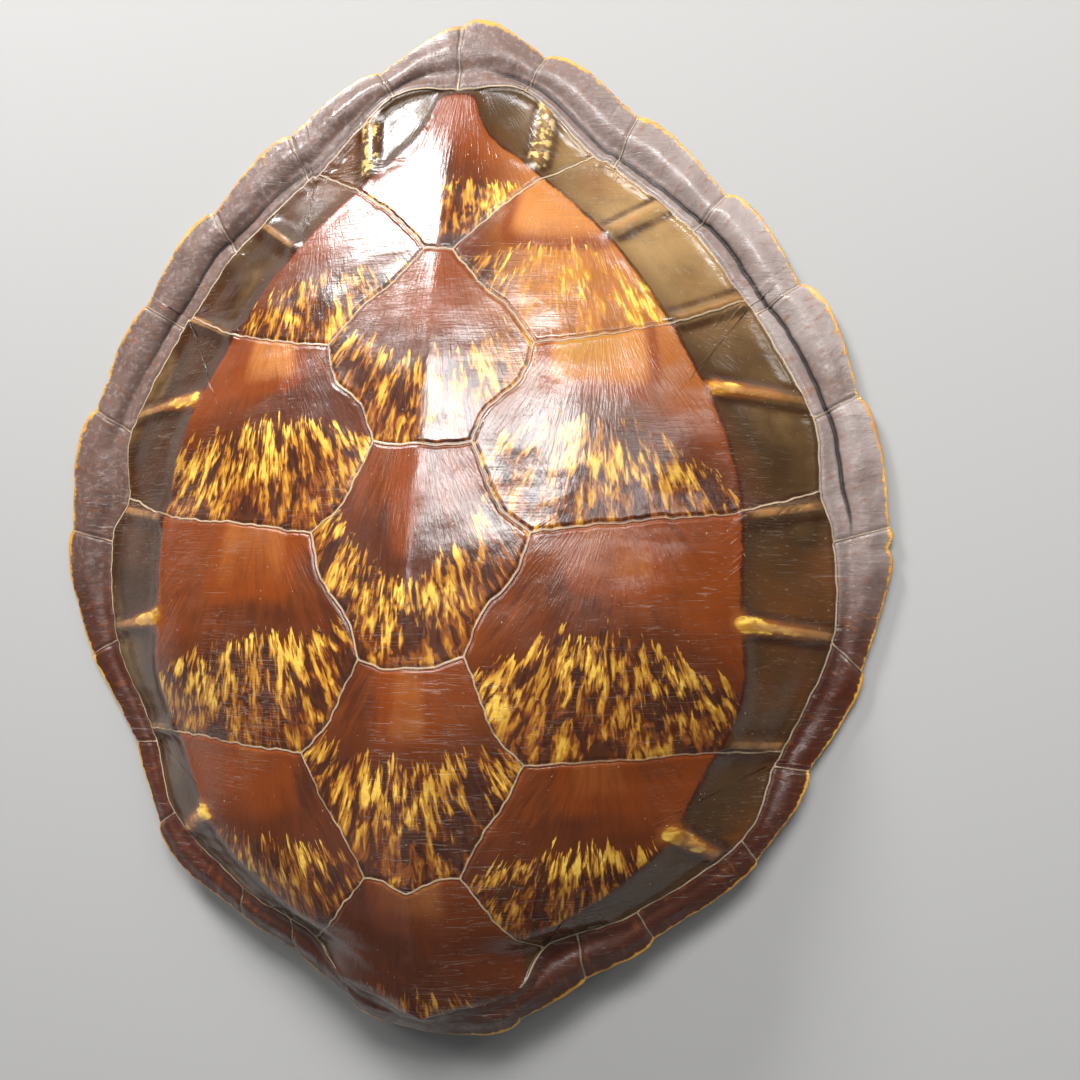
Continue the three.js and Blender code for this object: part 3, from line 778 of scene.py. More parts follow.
def plate_joint(x, y):
    """Distance from the joint midway between neighbouring ribs, with another sign on each plate."""
    return (nearest_rib(x, y, 0, RIBS[::2]) - nearest_rib(x, y, 0, RIBS[1::2])) / 2


def lower_face(plan):
    """Height of the bone's and the marginals' lower face, a little rough."""
    x, y = plan.T
    bearing, reach = away_from_hub(x, y)
    out = reach > reach_of_seam(bearing)
    rough = 0.18 * swells(x, y, 21, 19) + 0.06 * swells(x, y, 22, 6)
    return np.where(out, flange_under(x, y), under_height(x, y)) + rough


def under_rows(edge):
    """Rows from the free edge in to the spine: rounded edge, foot, wall, then the bone."""
    spine = np.column_stack([np.zeros(len(edge)), np.linspace(*SPINE_ENDS, len(edge))])
    height = edge_height(edge[:, 1])
    ground = np.maximum(0, height - SUPPORT)
    way = (spine - edge) / np.linalg.norm(spine - edge, axis=1)[:, None]
    rows = [(edge, height)]
    for offset, drop in EDGE_ROWS:
        rows.append((edge + way * offset, np.maximum(height - drop, 0.0)))
    for offset in FOOT_ROWS:
        sunk = smoothstep(offset, 0.5, FOOT["start"])
        rows.append((edge + way * offset, (height - EDGE) * (1 - sunk) + ground * sunk))
    top = edge + way * FOOT["wall_top"]
    wall = (FOOT["end"] - 0.5, FOOT["wall_top"] + 1.5)
    for offset in WALL_ROWS:
        risen = smoothstep(offset, *wall) / smoothstep(FOOT["wall_top"], *wall)
        rows.append((edge + way * offset, ground * (1 - risen) + lower_face(top) * risen))
    for k in range(1, UNDER_ROWS + 1):
        plan = top + (spine - top) * (k / UNDER_ROWS)
        rows.append((plan, lower_face(plan)))
    return rows


def add_underside(patches, side):
    """One side of the lower face; its inner rows have every second point only."""
    rows = under_rows(chain(FREE_EDGE, side))
    turned = len(EDGE_ROWS) + len(FOOT_ROWS) + len(WALL_ROWS)
    count = len(rows[0][1])
    kept = [np.arange(0, count, 1 if k < FINE_ROWS else 2) for k in range(len(rows))]
    points = np.vstack([np.column_stack([p[i], z[i]]) for (p, z), i in zip(rows, kept)])
    starts = np.concatenate([[0], np.cumsum([len(i) for i in kept])])
    index = [np.arange(a, b) for a, b in zip(starts, starts[1:])]
    faces = [strip(a, b, side < 0) for a, b in zip(index, index[1:])]
    slots = [np.full(len(f), 1 if k < turned else 2) for k, f in enumerate(faces)]
    row_of = np.concatenate([np.full(len(i), k) for k, i in enumerate(kept)])
    x, y = points[:, 0], points[:, 1]
    gap = np.min([distance_to(points[:, :2], seam)[0] for seam in rim_seams(side)], axis=0)
    patches.add(
        points, np.vstack(faces), np.concatenate(slots), np.where(row_of == 0, TOP, BELOW),
        np.column_stack([x / UNIT, y / UNIT, np.full(len(x), 60.0)]),
        seam=np.where(row_of <= turned, gap / CENTIMETRE, 1.0),
        window=past_bone(x, y) / CENTIMETRE, suture=plate_joint(x, y) / CENTIMETRE,
        rib=bump(nearest_rib(x, y, 0), UNDER_RIB["spread"]),
        rim=np.where(row_of == 0, 1.0, 1.0 + row_of / (turned + 1)),
    )


def middle_of_plan():
    """The plan's middle, over the middle of the frame's box."""
    outline = both_sides(FREE_EDGE)
    low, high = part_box("carapace")
    centre = (low + high) / 2 / MM
    middle = (outline.min(0) + outline.max(0)) / 2
    return np.array([centre.x - middle[0], centre.y - middle[1], 0.0])


PLAN_OFFSET = middle_of_plan()


def shell_mesh(sizes):
    patches = Patches()
    for side in (1, -1):
        add_flange(patches, side, sizes)
    for seed, (outline, *scute) in enumerate(BACK_SCUTES.values()):
        add_scute(patches, both_sides(outline.split()), scute, seed, sizes)
    for pair, (outline, *scutes) in enumerate(SIDE_SCUTES.values()):
        names = outline.split()
        for side, scute in zip((1, -1), scutes):
            loop = chain([*names, names[0]], side)[:-1]
            add_scute(patches, loop, scute, 10 + 2 * pair + (side < 0), sizes)
    for side in (1, -1):
        add_underside(patches, side)
    return patches.mesh("carapace_horn_and_bone", PLAN_OFFSET)


# ---- Shader building ----


class Bench:
    """Adds nodes to a tree and joins them; an input takes a number, a colour or another output."""

    def __init__(self, tree):
        self.tree = tree

    def node(self, kind, **settings):
        made = self.tree.nodes.new(kind)
        for name, value in settings.items():
            setattr(made, name, value)
        return made

    def feed(self, socket, value):
        if isinstance(value, bpy.types.NodeSocket):
            self.tree.links.new(value, socket)
        else:
            socket.default_value = value

    def fed(self, made, names, values):
        """Feeds a node's inputs, given by name or number, and returns its first output."""
        for name, value in zip(names, values):
            self.feed(made.inputs[name], value)
        return made.outputs[0]

    def math(self, operation, *values):
        return self.fed(self.node("ShaderNodeMath", operation=operation), range(3), values)

    def vector(self, operation, *values):
        return self.fed(self.node("ShaderNodeVectorMath", operation=operation), range(3), values)

    def folded(self, operation, values):
        result = values[0]
        for value in values[1:]:
            result = self.math(operation, result, value)
        return result

    def product(self, *values):
        return self.folded("MULTIPLY", values)

    def sum(self, *values):
        return self.folded("ADD", values)

    def less(self, value, taken):
        return self.math("SUBTRACT", value, taken)

    def swing(self, pattern, *sizes):
        """A noise's swing about its middle, times the given sizes."""
        return self.product(self.less(pattern, 0.5), *sizes)

    def mix(self, share, a, b):
        made = self.node("ShaderNodeMix", data_type="RGBA")
        sockets = {socket.identifier: socket for socket in made.inputs}
        for name, value in zip(("Factor_Float", "A_Color", "B_Color"), (share, a, b)):
            self.feed(sockets[name], value)
        return next(socket for socket in made.outputs if socket.identifier == "Result_Color")

    def laid(self, below, colour, *masks):
        """A colour laid over another where all the masks let it."""
        return self.mix(self.product(*masks), below, colour)

    def shaded(self, below, colour, depth, *masks):
        """A colour that only tints what lies below it, by the given depth."""
        return self.laid(below, self.mix(depth, below, colour), *masks)

    def ease(self, value, start, end, low=0.0, high=1.0):
        made = self.node("ShaderNodeMapRange", interpolation_type="SMOOTHSTEP")
        names = ("Value", "From Min", "From Max", "To Min", "To Max")
        return self.fed(made, names, (value, start, end, low, high))

    def noise(self, vector, scale, detail=2.0, roughness=0.5, distortion=0.0):
        names = ("Vector", "Scale", "Detail", "Roughness", "Distortion")
        values = (vector, scale, detail, roughness, distortion)
        return self.fed(self.node("ShaderNodeTexNoise"), names, values)

    def mark(self, name):
        return self.node("ShaderNodeAttribute", attribute_name=name).outputs["Fac"]

    def growth(self):
        return self.node("ShaderNodeAttribute", attribute_name="growth").outputs["Vector"]

    def place(self):
        return self.node("ShaderNodeTexCoord").outputs["Object"]

    def parts(self, vector):
        made = self.node("ShaderNodeSeparateXYZ")
        self.feed(made.inputs[0], vector)
        return made.outputs

    def joined(self, x, y, z):
        return self.fed(self.node("ShaderNodeCombineXYZ"), range(3), (x, y, z))

    def group(self, tree, **values):
        made = self.node("ShaderNodeGroup", node_tree=tree)
        self.fed(made, values, values.values())
        return made.outputs

    def relief(self, height, distance, strength):
        """The normal that a Bump node makes of a height."""
        made = self.node("ShaderNodeBump")
        self.fed(made, ("Strength", "Distance", "Height"), (strength, distance, height))
        return made.outputs["Normal"]


def new_group(name, inputs, outputs):
    """A shader group with its sockets, each (name, kind, default) or (name, kind)."""
    tree = bpy.data.node_groups.new(name, "ShaderNodeTree")
    for label, kind, default in inputs:
        socket = tree.interface.new_socket(label, in_out="INPUT", socket_type=f"NodeSocket{kind}")
        if default is not None:
            socket.default_value = default
    for label, kind in outputs:
        tree.interface.new_socket(label, in_out="OUTPUT", socket_type=f"NodeSocket{kind}")
    bench = Bench(tree)
    return tree, bench, bench.node("NodeGroupInput").outputs, bench.node("NodeGroupOutput").inputs


def ray_pattern_group():
    """Streaks that fan out from a scute's growth centre, widening as they go."""
    tree, b, given, result = new_group(
        "Growth rays",
        [("Growth", "Vector", None), ("Fineness", "Float", 14.0), ("Runs", "Float", 2.6),
         ("Shift", "Float", 0.0), ("Detail", "Float", 2.0)],
        [("Value", "Float")],
    )
    x, y, seed = b.parts(given["Growth"])
    away = b.less(y, FAN_APEX)
    reach = b.math("SQRT", b.sum(b.product(x, x), b.product(away, away)))
    reach = b.math("MAXIMUM", reach, 0.02)  # keeps the division below finite
    across = b.product(b.math("DIVIDE", x, reach), given["Fineness"])
    beyond = b.product(b.math("DIVIDE", away, reach), given["Fineness"])
    run = b.product(reach, given["Runs"])
    offset = b.sum(b.product(seed, SEED_SHIFT), given["Shift"])
    place = b.joined(b.sum(across, offset), beyond, b.sum(run, offset))
    b.feed(result["Value"], b.noise(place, 1.0, given["Detail"], 0.55, 0.55))
    return tree


def seam_cord_group():
    """The pale cord of a seam, painted shade in its gutter, and how both break up along the way."""
    tree, b, given, result = new_group(
        "Seam cord",
        [("Color", "Color", (0.2, 0.05, 0.02, 1)), ("Gap", "Float", 1.0), ("Place", "Vector", None),
         ("Cord", "Color", (0.6, 0.45, 0.3, 1)), ("Strength", "Float", 1.0)],
        [("Color", "Color"), ("Cord", "Float")],
    )
    frayed = b.noise(given["Place"], 900.0, 3.0, 0.6)
    along = b.noise(given["Place"], 55.0, 2.0, 0.5)
    ragged = b.sum(given["Gap"], b.swing(frayed, 0.045))
    gutter = b.product(b.ease(ragged, 0.03, 0.055), b.ease(ragged, 0.11, 0.06))
    # Painted shade darkens the seam's gutter.
    shaded = b.laid(given["Color"], TINTS["gutter"], gutter, 0.45)
    cord = b.ease(ragged, 0.050, 0.026)
    shown = b.product(cord, b.ease(along, 0.30, 0.52, 0.45, 1.0), given["Strength"])
    aged = b.mix(0.45, given["Cord"], TINTS["old_cord"])
    tinted = b.mix(b.ease(frayed, 0.35, 0.7), aged, given["Cord"])
    b.feed(result["Color"], b.mix(shown, shaded, tinted))
    b.feed(result["Cord"], shown)
    return tree


def varnish_wear_group():
    """Fine scratches, brushed unevenness and a patchy haze in the varnish."""
    tree, b, given, result = new_group(
        "Varnish wear",
        [("Place", "Vector", None), ("Wear", "Float", 1.0)],
        [("Height", "Float"), ("Roughness", "Float"), ("Scratch", "Float")],
    )
    scratches = []
    for turn, scale in SCRATCH_SETS:
        turned = b.node("ShaderNodeMapping", vector_type="POINT")
        b.feed(turned.inputs["Vector"], given["Place"])
        turned.inputs["Rotation"].default_value = (0.0, 0.0, turn)
        turned.inputs["Scale"].default_value = (22.0 * scale, 620.0 * scale, 40.0)
        lines = b.noise(turned.outputs[0], 1.0, 1.0, 0.5)
        patch = b.noise(given["Place"], 16.0 * scale + turn, 0.0, 0.5)
        line = b.ease(b.math("ABSOLUTE", b.less(lines, 0.5)), 0.012, 0.0)
        scratches.append(b.product(line, b.ease(patch, 0.56, 0.68)))
    scratch = b.folded("MAXIMUM", scratches)
    brushed = b.noise(given["Place"], 75.0, 2.0, 0.6)
    fine = b.noise(given["Place"], 420.0, 2.0, 0.6)
    height = b.less(b.sum(b.product(brushed, 0.8), b.product(fine, 0.22)), b.product(scratch, 0.35))
    haze = b.ease(b.noise(given["Place"], 24.0, 1.0, 0.6), 0.35, 0.7, 0.0, 0.12)
    b.feed(result["Height"], b.product(height, given["Wear"]))
    b.feed(result["Roughness"], b.product(b.sum(haze, b.product(scratch, 0.18)), given["Wear"]))
    b.feed(result["Scratch"], scratch)
    return tree


def new_material(name):
    material = bpy.data.materials.new(name)
    material.use_nodes = True
    tree = material.node_tree
    tree.nodes.clear()
    bench = Bench(tree)
    shader = bench.node("ShaderNodeBsdfPrincipled")
    output = bench.node("ShaderNodeOutputMaterial")
    tree.links.new(shader.outputs[0], output.inputs["Surface"])
    return material, bench, shader.inputs


def varnish(shader, coat, roughness):
    shader["Coat Weight"].default_value = coat
    shader["Coat Roughness"].default_value = roughness
    shader["IOR"].default_value = VARNISH_IOR


# ---- Materials ----


def scute_patterns(b, rays):
    """What the scutes' colours are laid by: the mesh's marks and the patterns they share."""
    growth, place = b.growth(), b.place()
    x, y, _ = b.parts(place)

    def fan(fineness, runs, shift, detail):
        return b.group(
            rays, Growth=growth, Fineness=fineness, Runs=runs, Shift=shift, Detail=detail
        )["Value"]

    return SimpleNamespace(
        place=place, x=x, y=y, past=b.mark("front"), block=b.mark("block"), bright=b.mark("bright"),
        gap=b.mark("seam"), window=b.mark("window"), rib=b.mark("rib"), plumed=b.mark("plume"),
        broad=fan(6.0, 0.9, 0.0, 2.0), lens=fan(17.0, 2.9, 3.7, 2.0),
        strand=fan(50.0, 5.6, 9.1, 3.0), teeth=fan(19.0, 0.45, 5.3, 3.0),
        mottle=b.noise(place, 60.0, 4.0, 0.6), cloud=b.noise(place, 15.0, 2.0, 0.5),
        cluster=b.noise(place, 48.0, 2.0, 0.5),
        tailwards=b.product(b.ease(x, 0.012, 0.05), b.ease(y, 0.015, 0.11)),
    )


def plain_horn(b, c, m):
    """Horn behind the flames' front: faintly rayed flanks, fiery near the bone's edge, and the
    clear block in the middle."""
    veined = b.sum(b.product(m.lens, 0.45), b.product(m.cloud, 0.55))
    flank = b.mix(b.ease(veined, 0.36, 0.62), c.red_brown, c.russet)
    flank = b.laid(flank, c.dark_horn, b.ease(m.broad, 0.44, 0.74), 0.22)
    smoulder = b.product(b.ease(m.cloud, 0.44, 0.62), b.ease(m.broad, 0.38, 0.6))
    flank = b.laid(flank, c.fire, smoulder, b.ease(m.past, -0.1, -0.9), 0.7)
    dusk = b.product(b.ease(m.cloud, 0.52, 0.36), b.ease(m.mottle, 0.3, 0.6, 0.6, 1.0))
    flank = b.laid(flank, c.dark_horn, dusk, 0.4)
    outer = b.product(b.ease(m.window, -4.2, -0.6), b.ease(m.x, -0.16, 0.08, 0.8, 1.0))
    flank = b.laid(flank, c.fire, outer, b.ease(m.strand, 0.3, 0.65, 0.45, 0.95))
    flank = b.laid(flank, c.orange, m.tailwards, 0.75)

    soft_block = b.sum(m.block, b.swing(m.cloud, b.ease(m.block, 0.0, 0.2), 0.9))
    clear = b.mix(b.ease(soft_block, 0.45, 0.95), c.fire, c.orange)
    clear = b.laid(clear, c.amber, b.ease(m.block, 0.8, 1.0), b.ease(m.cloud, 0.3, 0.6))
    clouded = b.product(b.ease(m.mottle, 0.2, 0.55, 0.6, 0.9), b.ease(m.lens, 0.3, 0.6, 0.72, 1.0))
    body = b.laid(flank, clear, b.ease(soft_block, 0.06, 0.34), clouded)
    headwards = b.product(b.ease(m.y, -0.10, -0.215), b.ease(m.cloud, 0.3, 0.6, 0.95, 0.7))
    body = b.shaded(body, c.dark_horn, 0.72, headwards)
    darker = b.product(b.ease(m.past, -0.42, -0.05), b.ease(m.cloud, 0.3, 0.6, 0.35, 0.75))
    return b.laid(body, c.red_brown, darker, b.less(1.0, b.product(m.tailwards, 0.8)))


def flames(b, c, m, body):
    """A golden web over burnt amber, holding dark lens-shaped patches, from the front on."""
    ragged = b.sum(m.past, b.swing(m.teeth, 0.55), b.swing(m.strand, 0.42))
    deep = b.ease(ragged, 0.04, 0.95)
    ground = b.mix(b.ease(m.strand, 0.38, 0.56), c.red_brown, c.burnt_amber)
    ground = b.laid(ground, c.orange, m.tailwards, 0.8)
    hollow = b.product(b.ease(m.lens, 0.485, 0.435), b.ease(m.tailwards, 0.2, 0.9, 1.0, 0.25))
    ground = b.laid(ground, c.dark_horn, hollow, 0.80)
    web = b.sum(b.product(m.lens, 0.40), b.product(m.strand, 0.44), b.product(m.cluster, 0.16))
    cut = b.sum(b.less(0.580, b.product(m.bright, 0.06)), b.product(deep, 0.05))
    over = b.less(web, cut)
    burning = b.laid(ground, c.deep_flame, b.ease(over, -0.045, 0.004), 0.9)
    grain = b.noise(m.place, 520.0, 2.0, 0.6)
    lit = b.product(b.ease(over, 0.002, 0.05), b.ease(m.cluster, 0.40, 0.60, 0.35, 1.0))
    lit = b.product(lit, b.less(1.0, b.product(deep, 0.5)), b.ease(grain, 0.25, 0.6, 0.6, 1.0))
    burning = b.laid(burning, c.flame, lit, b.ease(m.y, -0.165, -0.20, 1.0, 0.3))
    return b.mix(b.ease(ragged, -0.02, 0.02), body, burning)


def windows(b, c, m, body, edge):
    """Thin olive horn past the bone, with a dark line along the bone's edge and painted shadow just
    past it.
    """
    warm = b.product(b.ease(m.y, 0.05, 0.14), b.ease(m.x, 0.02, 0.10))
    thin = b.mix(warm, c.window_olive, c.window_tan)
    thin = b.shaded(thin, TINTS["window_soot"], 0.6, b.ease(m.mottle, 0.35, 0.75, 0.0, 0.5))
    thin = b.laid(thin, c.burnt_amber, b.ease(m.cloud, 0.5, 0.72, 0.0, 0.4))
    thin = b.laid(thin, TINTS["left_window"], b.ease(m.x, -0.02, -0.13, 0.0, 0.6))
    haze = b.product(b.ease(m.cloud, 0.52, 0.36), b.ease(m.window, 0.4, 1.4))
    thin = b.laid(thin, c.window_tan, haze, b.ease(m.mottle, 0.3, 0.6, 0.08, 0.3))
    body = b.mix(b.ease(edge, -0.04, 0.10), body, thin)
    rim_of_bone = b.product(b.ease(edge, -0.13, -0.02), b.ease(edge, 0.14, 0.04))
    body = b.laid(body, TINTS["bone_rim"], rim_of_bone, b.ease(m.mottle, 0.3, 0.6, 0.55, 0.9))
    # Painted shadow on the sunk horn just past the bone's edge.
    edge_shadow = b.product(b.ease(edge, 0.0, 0.06), b.ease(edge, 0.75, 0.1), 0.45)
    return b.shaded(body, TINTS["bone_edge_shadow"], 0.6, edge_shadow)


def rib_ends(b, c, m, body, edge):
    """Ribs in the windows: crests made pale as painted highlight, painted shade along their sides,
    flames along some and chips on the last.
    """
    licks = b.noise(b.vector("MULTIPLY", m.place, (60.0, 210.0, 100.0)), 1.0, 3.0, 0.6, 0.4)
    plume = b.sum(m.plumed, b.swing(licks, 0.95))
    plume = b.less(plume, b.math("MAXIMUM", b.product(edge, 0.20), 0.0))
    body = b.laid(body, c.burnt_amber, b.ease(plume, 0.12, 0.5), b.ease(edge, -1.3, -0.2), 0.85)
    tongue = b.product(b.ease(plume, 0.50, 0.68), b.ease(edge, -0.8, 0.1))
    fiery = b.mix(b.ease(licks, 0.45, 0.62), c.deep_flame, c.flame)
    body = b.laid(body, fiery, tongue, b.ease(m.cluster, 0.36, 0.52))
    # Painted highlight along each rib's crest.
    crest = b.product(b.ease(m.rib, 0.78, 0.97), b.ease(edge, 0.1, 0.9))
    pale = b.mix(0.45, c.window_tan, c.orange)
    body = b.laid(body, pale, crest, b.ease(m.mottle, 0.35, 0.6, 0.2, 0.7))
    # Painted shade along both sides of each rib.
    beside = b.product(b.ease(m.rib, 0.01, 0.22), b.ease(m.rib, 0.72, 0.35), b.ease(edge, 0.0, 0.4))
    body = b.laid(body, TINTS["rib_gutter_shade"], beside, b.ease(m.mottle, 0.25, 0.6, 0.4, 0.8))
    broken = b.ease(b.noise(m.place, 190.0, 3.0, 0.6), 0.50, 0.57)
    chips = b.product(b.ease(m.rib, 0.3, 0.7), broken, b.ease(edge, 0.1, 0.6))
    chips = b.product(chips, b.ease(m.y, 0.15, 0.17), 0.75)
    return b.laid(body, b.mix(0.6, TINTS["chip"], c.flame), chips)


def tortoiseshell(c, groups):
    """Amber horn over bone, flames past each scute's front, olive windows past the bone's edge."""
    material, b, shader = new_material("varnished_tortoiseshell")
    m = scute_patterns(b, groups["rays"])
    edge = b.sum(m.window, b.swing(m.mottle, 0.16), b.swing(m.teeth, 0.3))
    body = flames(b, c, m, plain_horn(b, c, m))
    body = rib_ends(b, c, m, windows(b, c, m, body, edge), edge)

    quiet = b.product(b.ease(m.x, 0.03, 0.09), b.ease(m.window, 0.6, -0.4))
    seamed = b.group(
        groups["cord"], Color=body, Gap=m.gap, Place=m.place, Cord=c.seam_cord,
        Strength=b.less(0.88, b.product(quiet, 0.5)),
    )
    wear = b.group(groups["wear"], Place=m.place, Wear=1.0)
    worn = b.laid(seamed["Color"], TINTS["scratch"], wear["Scratch"], 0.14)
    specks = b.ease(b.noise(m.place, 640.0, 1.0, 0.5), 0.775, 0.80)
    b.feed(shader["Base Color"], b.laid(worn, TINTS["dust"], specks, 0.45))
    rough = b.sum(wear["Roughness"], b.product(seamed["Cord"], 0.35), 0.20)
    b.feed(shader["Roughness"], rough)
    varnish(shader, 0.08, 0.12)
    height = b.sum(wear["Height"], b.product(m.strand, 0.7))
    b.feed(shader["Normal"], b.relief(height, 0.00032, 0.9))
    return material


def rim_horn(c, groups):
    """The marginals: grey-brown over red-brown, painted sheen on the right-hand rim and painted
    glints towards the tail, a translucent golden outer edge and painted shade in the fold.
    """
    material, b, shader = new_material("varnished_rim_horn")
    place, growth = b.place(), b.growth()
    along, _, seed = b.parts(growth)
    gap, rim, fold = b.mark("seam"), b.mark("rim"), b.mark("fold")
    x, y, _ = b.parts(place)
    mottle = b.noise(place, 48.0, 4.0, 0.62)
    patch = b.noise(b.vector("ADD", place, b.joined(seed, seed, 0.0)), 22.0, 2.0, 0.5)
    towards_tail = b.ease(b.sum(y, b.swing(patch, 0.12)), -0.10, 0.06)
    body = b.mix(towards_tail, c.rim_red, c.rim_grey)
    body = b.shaded(body, TINTS["rim_soot"], 0.65, b.ease(mottle, 0.38, 0.72, 0.0, 0.7))
    # Painted sheen: pale grey on the right-hand rim towards the tail.
    painted_sheen = b.product(b.ease(x, 0.0, 0.16), towards_tail, b.ease(patch, 0.3, 0.6, 0.35, 0.8))
    body = b.laid(body, c.rim_sheen, painted_sheen)
    # Painted glints: pale specks on the rim towards the tail.
    painted_glints = b.ease(b.noise(place, 330.0, 2.0, 0.6), 0.52, 0.66)
    body = b.laid(body, c.rim_sheen, painted_glints, towards_tail, 0.28)
    streaks = b.noise(b.vector("MULTIPLY", growth, (9.0, 3.0, 1.0)), 1.6, 3.0, 0.55, 0.4)
    body = b.laid(body, c.burnt_amber, b.ease(streaks, 0.55, 0.75, 0.0, 0.5))
    # Painted shade in the sharp fold.
    body = b.laid(body, TINTS["fold"], b.ease(fold, 0.15, 0.75), 0.92)
    thin_edge = b.sum(rim, b.swing(streaks, 0.16), b.product(b.ease(along, 0.75, 0.0), 0.035))
    golden = b.mix(b.ease(mottle, 0.35, 0.65), c.edge_gold, c.deep_flame)
    body = b.laid(body, golden, b.ease(thin_edge, 0.945, 0.995), b.ease(rim, 1.35, 1.05), 0.9)
    body = b.laid(body, c.under_horn, b.ease(rim, 1.05, 1.5), 0.6)

    seamed = b.group(
        groups["cord"], Color=body, Gap=gap, Place=place, Cord=c.seam_cord,
        Strength=b.ease(rim, 0.05, 0.25, 0.95, 0.4),
    )
    wear = b.group(groups["wear"], Place=place, Wear=1.2)
    worn = b.laid(seamed["Color"], TINTS["rim_scratch"], wear["Scratch"], 0.2)
    b.feed(shader["Base Color"], worn)
    sheen = b.ease(b.noise(place, 130.0, 4.0, 0.65), 0.36, 0.66, 0.26, 0.46)
    rough = b.sum(wear["Roughness"], b.sum(sheen, b.product(fold, 0.3)))
    b.feed(shader["Roughness"], rough)
    varnish(shader, 0.1, 0.2)
    dented = b.product(b.noise(place, 115.0, 3.0, 0.6), 1.5)
    height = b.sum(wear["Height"], dented, b.product(streaks, 0.6))
    b.feed(shader["Normal"], b.relief(height, 0.0004, 0.95))
    return material


def inner_bone(c):
    """The hollow side: dry bone with sutured plates and pores, brown where only horn is left."""
    material, b, shader = new_material("dry_inner_bone")
    place = b.place()
    suture, rib, window = b.mark("suture"), b.mark("rib"), b.mark("window")
    stain = b.noise(place, 13.0, 4.0, 0.62)
    grain = b.noise(b.vector("MULTIPLY", place, (110.0, 420.0, 200.0)), 1.0, 4.0, 0.65, 0.3)
    bone = b.mix(b.ease(stain, 0.35, 0.68), c.bone, c.bone_stain)
    bone = b.laid(bone, TINTS["bone_grain"], b.ease(grain, 0.4, 0.8, 0.0, 0.3))
    bone = b.laid(bone, TINTS["bare_rib"], b.ease(rib, 0.3, 1.0), 0.3)
    wave = b.swing(b.noise(place, 260.0, 2.0, 0.7), 0.42)
    beside = b.less(b.product(b.math("ABSOLUTE", b.parts(place)[0]), 100.0), BACK_PLATE_HALF)
    across = b.math("ABSOLUTE", b.sum(suture, wave))
    along = b.math("ABSOLUTE", b.sum(beside, wave))
    joint = b.ease(b.math("MINIMUM", across, along), 0.065, 0.025)
    joint = b.product(joint, b.ease(window, 0.1, -0.4), b.ease(stain, 0.25, 0.5, 0.55, 1.0))
    bone = b.laid(bone, TINTS["bone_joint"], joint, 0.75)
    thin = b.product(b.ease(window, 0.0, 0.5), b.ease(rib, 0.6, 0.25))
    horn = b.mix(b.ease(stain, 0.3, 0.7), c.under_horn, c.window_olive)
    bone = b.laid(bone, horn, thin, 0.9)
    pores = b.node("ShaderNodeTexVoronoi", feature="F1")
    b.fed(pores, ("Vector", "Scale"), (place, 420.0))
    pitted = b.product(b.ease(pores.outputs["Distance"], 0.25, 0.08), b.ease(stain, 0.42, 0.6))
    b.feed(shader["Base Color"], b.laid(bone, TINTS["pore"], pitted, 0.6))
    b.feed(shader["Roughness"], b.ease(thin, 0.0, 1.0, 0.72, 0.45))
    height = b.less(b.product(grain, 0.6), b.sum(b.product(joint, 0.7), b.product(pitted, 0.9)))
    b.feed(shader["Normal"], b.relief(height, 0.0005, 0.8))
    return material


def fibre_horn(c):
    material, b, shader = new_material("frayed_fibre")
    tint = b.noise(b.place(), 300.0, 2.0, 0.5)
    b.feed(shader["Base Color"], b.mix(tint, c.seam_cord, TINTS["fibre"]))
    b.feed(shader["Roughness"], b.ease(tint, 0.2, 0.8, 0.45, 0.65))
    return material


def pale_floor(c):
    material, b, shader = new_material("pale_floor")
    drift = b.noise(b.place(), 1.5, 2.0, 0.5)
    worn = b.mix(b.ease(drift, 0.2, 0.8, 0.0, 0.06), c.floor, TINTS["floor_drift"])
    b.feed(shader["Base Color"], worn)
    shader["Roughness"].default_value = 0.85
    return material


# ---- Seam fibres ----


